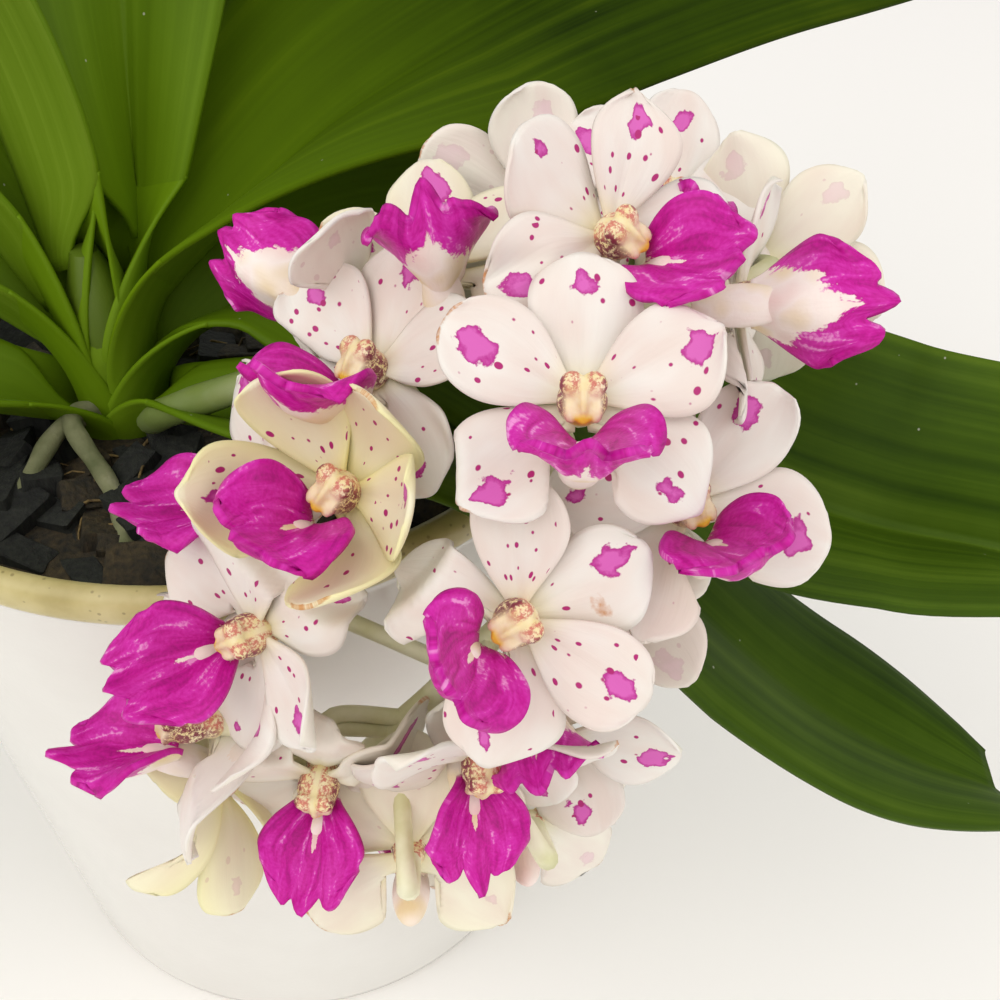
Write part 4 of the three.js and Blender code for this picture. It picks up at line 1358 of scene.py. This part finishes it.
@dataclass
class Bloom:
    """One flower's five petal-like parts and its lip with its sac; its column is added by the spray."""

    spec: BloomSpec
    frame: FlowerFrame
    over: list[FlowerFrame]
    start: float = 1.2
    thick: float = 0.9
    tuck_gap: float = 1.6
    tuck_slope: float = 1.1
    no_blotch: float = -9
    sac_half: float = 2.6
    sac_deep: float = 2
    sac_long: float = 6
    sac_tilt: float = -0.2
    lip_length: float = 15.2
    lip_half: float = 7.6
    lip_base: float = 2.6
    lip_curl: float = 4.8
    lip_thick: float = 1.3
    lip_phase: float = 0.0
    draws: random.Random = field(init=False)

    def __post_init__(self) -> None:
        """Starts the flower's own repeatable random numbers."""
        self.draws = random.Random(self.spec.name)

    def spread(self, amount: float) -> float:
        """A random number from minus to plus the amount."""
        return amount * (2 * self.draws.random() - 1)

    def tuck(self, points: Numbers) -> Numbers:
        """Lays points behind the flowers that lie over this one."""
        for other in self.over:
            local = other.to_flower(points)
            reach = np.hypot(local[:, 0], local[:, 1])
            beyond = np.maximum(0, reach - other.radius)
            ceiling = -self.tuck_gap + self.tuck_slope * beyond + 0.35 * beyond**2
            lower = soft_minimum(local[:, 2], ceiling, 1.5)
            fade = 1 - smoothstep(8, 15, local[:, 2])
            local[:, 2] += (np.minimum(lower, local[:, 2]) - local[:, 2]) * fade
            points = other.to_part(local)
        return points

    def segment(self, shape: SegmentShape, skins: list[Material]) -> Piece:
        """Makes one petal or sepal.

        Args:
            shape: its form.
            skins: the materials of its front and its back.

        Returns:
            The petal as a thick sheet with its marks' places stored on it.
        """
        angle = math.radians(shape.angle)
        widen, skew = 1 + self.spread(0.08), self.spread(0.16)
        twist, phase = self.spread(0.13), self.draws.random() * 6
        wave = 0.6 + 0.8 * self.draws.random()
        tip_turn = self.spread(3.0)
        taper = 0.4 + 0.62 * self.draws.random() ** 2

        def surface(s: Numbers, t: Numbers) -> Numbers:
            """Points of the petal's middle."""
            t = -t
            swell = 0.16 + 0.84 * np.sin(np.pi / 2 * np.minimum(1, s / 0.62)) ** 1.2
            rounding = (1 - (np.maximum(0, s - 0.62) / 0.41) ** 2) ** taper
            lopsided = 1 + skew * np.sign(t) * np.sin(np.pi * s)
            half = shape.half * widen * swell * rounding * lopsided * t
            bend = self.spec.cup * s
            run = shape.length * s * (1 - 0.06 * s * s * t * t)
            reach = self.start + run * np.cos(bend)
            x = math.cos(angle) * reach - math.sin(angle) * half
            y = math.sin(angle) * reach + math.cos(angle) * half
            z = shape.lift + 2.4 * np.sin(2.2 * s) * s + shape.cup * t * t * s + run * np.sin(bend)
            z += wave * np.sin(6.5 * s + phase + 1.7 * t) * np.abs(t) ** 2.5 * s
            z += half * twist * s + tip_turn * s**4 - 0.35 * hill(half, 0, 0.8) * (1 - s)
            if shape.angle < 0:
                beside = y < -self.sac_half - 0.4
                side = np.where(x == 0, math.cos(angle), x)
                x = np.where(beside, np.sign(side) * np.maximum(np.abs(x), self.sac_half + 1.1), x)
            return self.tuck(self.frame.to_part(rows_of(x, y, z)))

        radius = self.spec.blotches[shape.part.value]
        centre = (self.spread(1.2), shape.length * (0.86 + self.spread(0.03)) - 0.25 * radius)
        number = self.draws.random() * 90
        blush = self.spread(0.12)
        density = self.spec.specks * (1.25 if shape.part in (Part.RIGHT_PETAL, Part.LEFT_PETAL) else 0.75)

        def place(s: Numbers, t: Numbers) -> Numbers:
            """The place on the petal in millimetres, and its own number."""
            return rows_of(t * shape.half, self.start + s * shape.length, number)

        def blotch(s: Numbers, t: Numbers) -> Numbers:
            """The blotch's centre and radius."""
            return np.tile([*centre, radius if radius > 0 else self.no_blotch], (len(s), 1))

        browned = 0.62 if self.draws.random() > 0.8 else 0.0
        stained = self.spec.stain if shape.part is Part.UPPER_SEPAL else 0.0

        def tone(s: Numbers, t: Numbers) -> Numbers:
            """How cream, how blushed and how rusty the petal is there."""
            claw = 0.35 * (1 - smoothstep(0.02, 0.3, s))
            cream = np.clip(self.spec.cream * (0.6 + 0.5 * t * t) + claw, 0, 1)
            rust = browned * smoothstep(0.95, 1, s)
            rust = rust + stained * hill(s, 0.5, 0.1) * hill(t, 0.5, 0.35)
            return rows_of(cream, blush + 0.12 * np.sin(3 * s), rust)

        def speck_zone(s: Numbers, t: Numbers) -> Numbers:
            """How thick the specks stand: in a band from the claw to the blotch."""
            band = smoothstep(0.14, 0.26, s) * (1 - smoothstep(0.66, 0.84, s))
            band = band * (1 - smoothstep(0.8, 0.98, np.abs(t)))
            return rows_of(density * band, 0, 0)

        facts = {"blade_mm": place, "blotch_mm": blotch, "tone": tone, "speck_zone": speck_zone}
        petal = drawn_grid(f"{self.spec.name}_{shape.part.name.lower()}", 24, 16, surface, facts)
        thicken(petal, skins, self.thick, plump(0.7, 4, 0.5, 0.9, 2), 0.25)
        return petal

    def lip_surface(self, s: Numbers, t: Numbers, curl: float) -> Numbers:
        """Points of the lip's blade in the flower's frame, with its side lobes turned up."""
        u = np.abs(t)
        size = self.spec.lip
        opened = np.sin(np.pi / 2 * np.minimum(1, s / 0.6)) ** 1.5
        half = self.lip_base + (self.lip_half - self.lip_base) * opened
        half = half * (1 - 0.14 * (np.maximum(0, s - 0.6) / 0.4) ** 2)
        finger = 0.12 * hill(t, 0, 0.16)
        notch = -0.12 * hill(u, 0.31, 0.12)
        crimp = 0.04 * np.sin(7 * t + self.lip_phase) + 0.01 * np.sin(17 * t + 2 * self.lip_phase)
        corner = -0.3 * u**4
        lobes = 1 + (finger + notch + crimp + corner) * smoothstep(0.45, 1, s)
        half = half * (1 + 0.05 * np.sin(9 * s + self.lip_phase) * smoothstep(0.3, 0.6, s))
        rise = curl * np.sin(np.pi * np.minimum(1, s + 0.15)) * u**1.6
        rise += 1.6 * smoothstep(0.6, 1, s) * u**2
        ridge = 0.16 * np.cos(16 * t) * (1 - u) * np.sin(np.pi * s)
        edge = 0.6 * np.sin(7.5 * s + 3 * t + self.lip_phase) * u**2.5 * smoothstep(0.2, 0.6, s)
        tip = 0.9 * hill(t, 0, 0.2) * smoothstep(0.8, 1, s)
        y = -5.5 - 2.4 * s + rise + ridge + edge + tip
        return rows_of(size * half * t, y, 1.6 + size * self.lip_length * s * lobes)

    def lip(self, skins: list[Material]) -> Piece:
        """Makes the lip with its puffy underside and the sac behind it, in its upper and lower skin."""
        curl = self.lip_curl * (1 + self.spread(0.12))
        self.lip_phase = 6 * self.draws.random()
        number = self.draws.random() * 70

        def place(s: Numbers, t: Numbers) -> Numbers:
            """The place on the lip in millimetres, and its own number."""
            return rows_of(t * self.lip_half, s * self.lip_length, number)

        def zone(s: Numbers, t: Numbers) -> Numbers:
            """How far into the magenta a place is, above and below."""
            u = np.abs(t)
            streak = 0.544 * hill(t, 0, 0.1) * np.sin(np.pi * np.clip(s * 1.3, 0, 1))
            return rows_of(s - 0.1 - streak, s - (0.86 - 0.62 * u), 0)

        def surface(s: Numbers, t: Numbers) -> Numbers:
            """Points of the lip's blade in the part's frame."""
            return self.frame.to_part(self.lip_surface(s, -t, curl))

        facts = {"blade_mm": place, "lip_zone": zone}
        lip = drawn_grid(f"{self.spec.name}_lip_blade", 34, 28, surface, facts)
        thicken(lip, skins, self.lip_thick, plump(0.55, 3, 0.35, 0.85), 0.35)
        self.puff(lip)
        return joined(f"{self.spec.name}_lip_fine", [lip, self.sac(skins)])

    def puff(self, lip: Piece) -> None:
        """Swells the lip's underside into its fleshy keel."""
        down = -self.frame.axes[1] * MM
        under = {v for p in lip.data.polygons if p.material_index == 1 for v in p.vertices}
        facts = lip.data.attributes["blade_mm"].data
        for index in under:
            across, along, _ = facts[index].vector
            t, s = across / self.lip_half, along / self.lip_length
            swell = 2.6 * max(0.0, 1 - (t / 0.8) ** 2) ** 1.2 * math.sin(math.pi * min(1, 0.12 + s * 0.95))
            lip.data.vertices[index].co += Vector(down * swell)

    def sac(self, skins: list[Material]) -> Piece:
        """The closed sac behind the lip, all in the second of the lip's skins."""
        deselect_all()
        bpy.ops.mesh.primitive_uv_sphere_add(segments=20, ring_count=12, radius=1)
        sac = bpy.context.active_object
        slim = math.sqrt(self.spec.sac)
        half = (self.sac_half * slim, self.sac_deep * slim, self.sac_long * self.spec.sac)
        x, deep, long = (np.array([v.co for v in sac.data.vertices]) * half).T
        turn, lean = math.cos(self.sac_tilt), math.sin(self.sac_tilt)
        y = deep * turn - long * lean - 7.1 + 1.4 * (1 - slim)
        z = deep * lean + long * turn + 0.6
        place = rows_of(x, z, self.draws.random() * 9)
        zone = rows_of(0 * x - 1, -1, 0)
        reshape(sac, self.frame.to_part(rows_of(x, y, z)), {"blade_mm": place, "lip_zone": zone})
        dress(sac, skins)
        for polygon in sac.data.polygons:
            polygon.material_index = 1
        return sac

    def build(self, petal: list[Material], lip: list[Material]) -> None:
        """Makes the petals and the lip, each in the materials of its two sides."""
        name = self.spec.name
        petals = joined(f"{name}_petals_fine", [self.segment(shape, petal) for shape in SEGMENTS])
        seat(petals, petal, (f"{name}_petals",))
        seat(self.lip(lip), lip, (f"{name}_lip",))


@dataclass
class ColumnPattern:
    """The column, modelled once from balls, each by its half sizes and its centre in millimetres."""

    balls: tuple[tuple[Point, Point], ...] = (
        # A squat body and its foot
        ((2.8, 2.7, 3.4), (0, -0.2, 1.6)),
        ((2.2, 2.0, 2.2), (0, 0, -1.4)),
        # Two pollen cells, the ridge and the beak
        ((1.45, 1.5, 1.1), (1.15, 1.15, 4.3)),
        ((1.45, 1.5, 1.1), (-1.15, 1.15, 4.3)),
        ((0.55, 2.3, 0.9), (0, -0.4, 4.7)),
        ((0.8, 0.7, 0.7), (0, -2.5, 4.3)),
        # Two cheeks
        ((0.9, 1.5, 0.7), (1.3, -1.5, 4.0)),
        ((0.9, 1.5, 0.7), (-1.3, -1.5, 4.0)),
    )

    def ball(self, radii: Point, place: Point) -> Piece:
        """One rounded part of the column, by its half sizes and its centre."""
        deselect_all()
        bpy.ops.mesh.primitive_uv_sphere_add(segments=24, ring_count=16, radius=1)
        ball = bpy.context.active_object
        ball.scale = radii
        ball.location = place
        bpy.ops.object.transform_apply(location=True, rotation=True, scale=True)
        return ball

    def build(self) -> Piece:
        """Makes the pattern in millimetres, in the flower's frame."""
        column = joined("column_pattern", [self.ball(*ball) for ball in self.balls])
        apply_modifier(column, "REMESH", mode="VOXEL", voxel_size=0.28)
        apply_modifier(column, "SMOOTH", factor=0.5, iterations=2)
        return column

    def copy_to(self, pattern: Piece, name: str, flower: FlowerFrame) -> Piece:
        """Copies the pattern into one flower's frame, with its own mesh and name."""
        column = copied(pattern)
        column.name = name
        local = np.array([v.co for v in column.data.vertices])
        reshape(column, flower.to_part(local), {"blade_mm": local})
        return column


@dataclass
class FlowerSpray:
    """The flower stem and all its flowers."""

    stem: FlowerStem = field(default_factory=FlowerStem)
    facing_limit: float = 0.35

    def build(self) -> None:
        """Places every flower, lays the shorter ones under the longer ones and makes them."""
        rows = sorted(((spec, self.stem.frame(spec)) for spec in BLOOMS), key=lambda row: -row[1].reach)
        frames = [flower for _, flower in rows]
        self.stem.build(frames)
        petal = [
            PetalFlesh("petal_flesh_front", marks=1.0).material(),
            PetalFlesh("petal_flesh_back", marks=0.2, white="ebe6d8").material(),
        ]
        lip = [LipFlesh("lip_flesh_above", False).material(), LipFlesh("lip_flesh_below", True).material()]
        wax = ColumnWax().material()
        columns = ColumnPattern()
        pattern = columns.build()
        for k, (spec, flower) in enumerate(rows):
            over = [other for other in frames[:k] if other.axes[2] @ flower.axes[2] > self.facing_limit]
            Bloom(spec, flower, over).build(petal, lip)
            seat(columns.copy_to(pattern, f"{spec.name}_column", flower), [wax])
        bpy.data.objects.remove(pattern)


def main() -> None:
    """Builds the studio and the plant."""
    logging.basicConfig(level=logging.INFO, format="%(message)s")
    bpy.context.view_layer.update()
    Studio().build()
    GlazedPot().build()
    BarkBed().build()
    StemAndRoots().build()
    LeafFan().build()
    FlowerSpray().build()


if __name__ == "__main__":
    main()
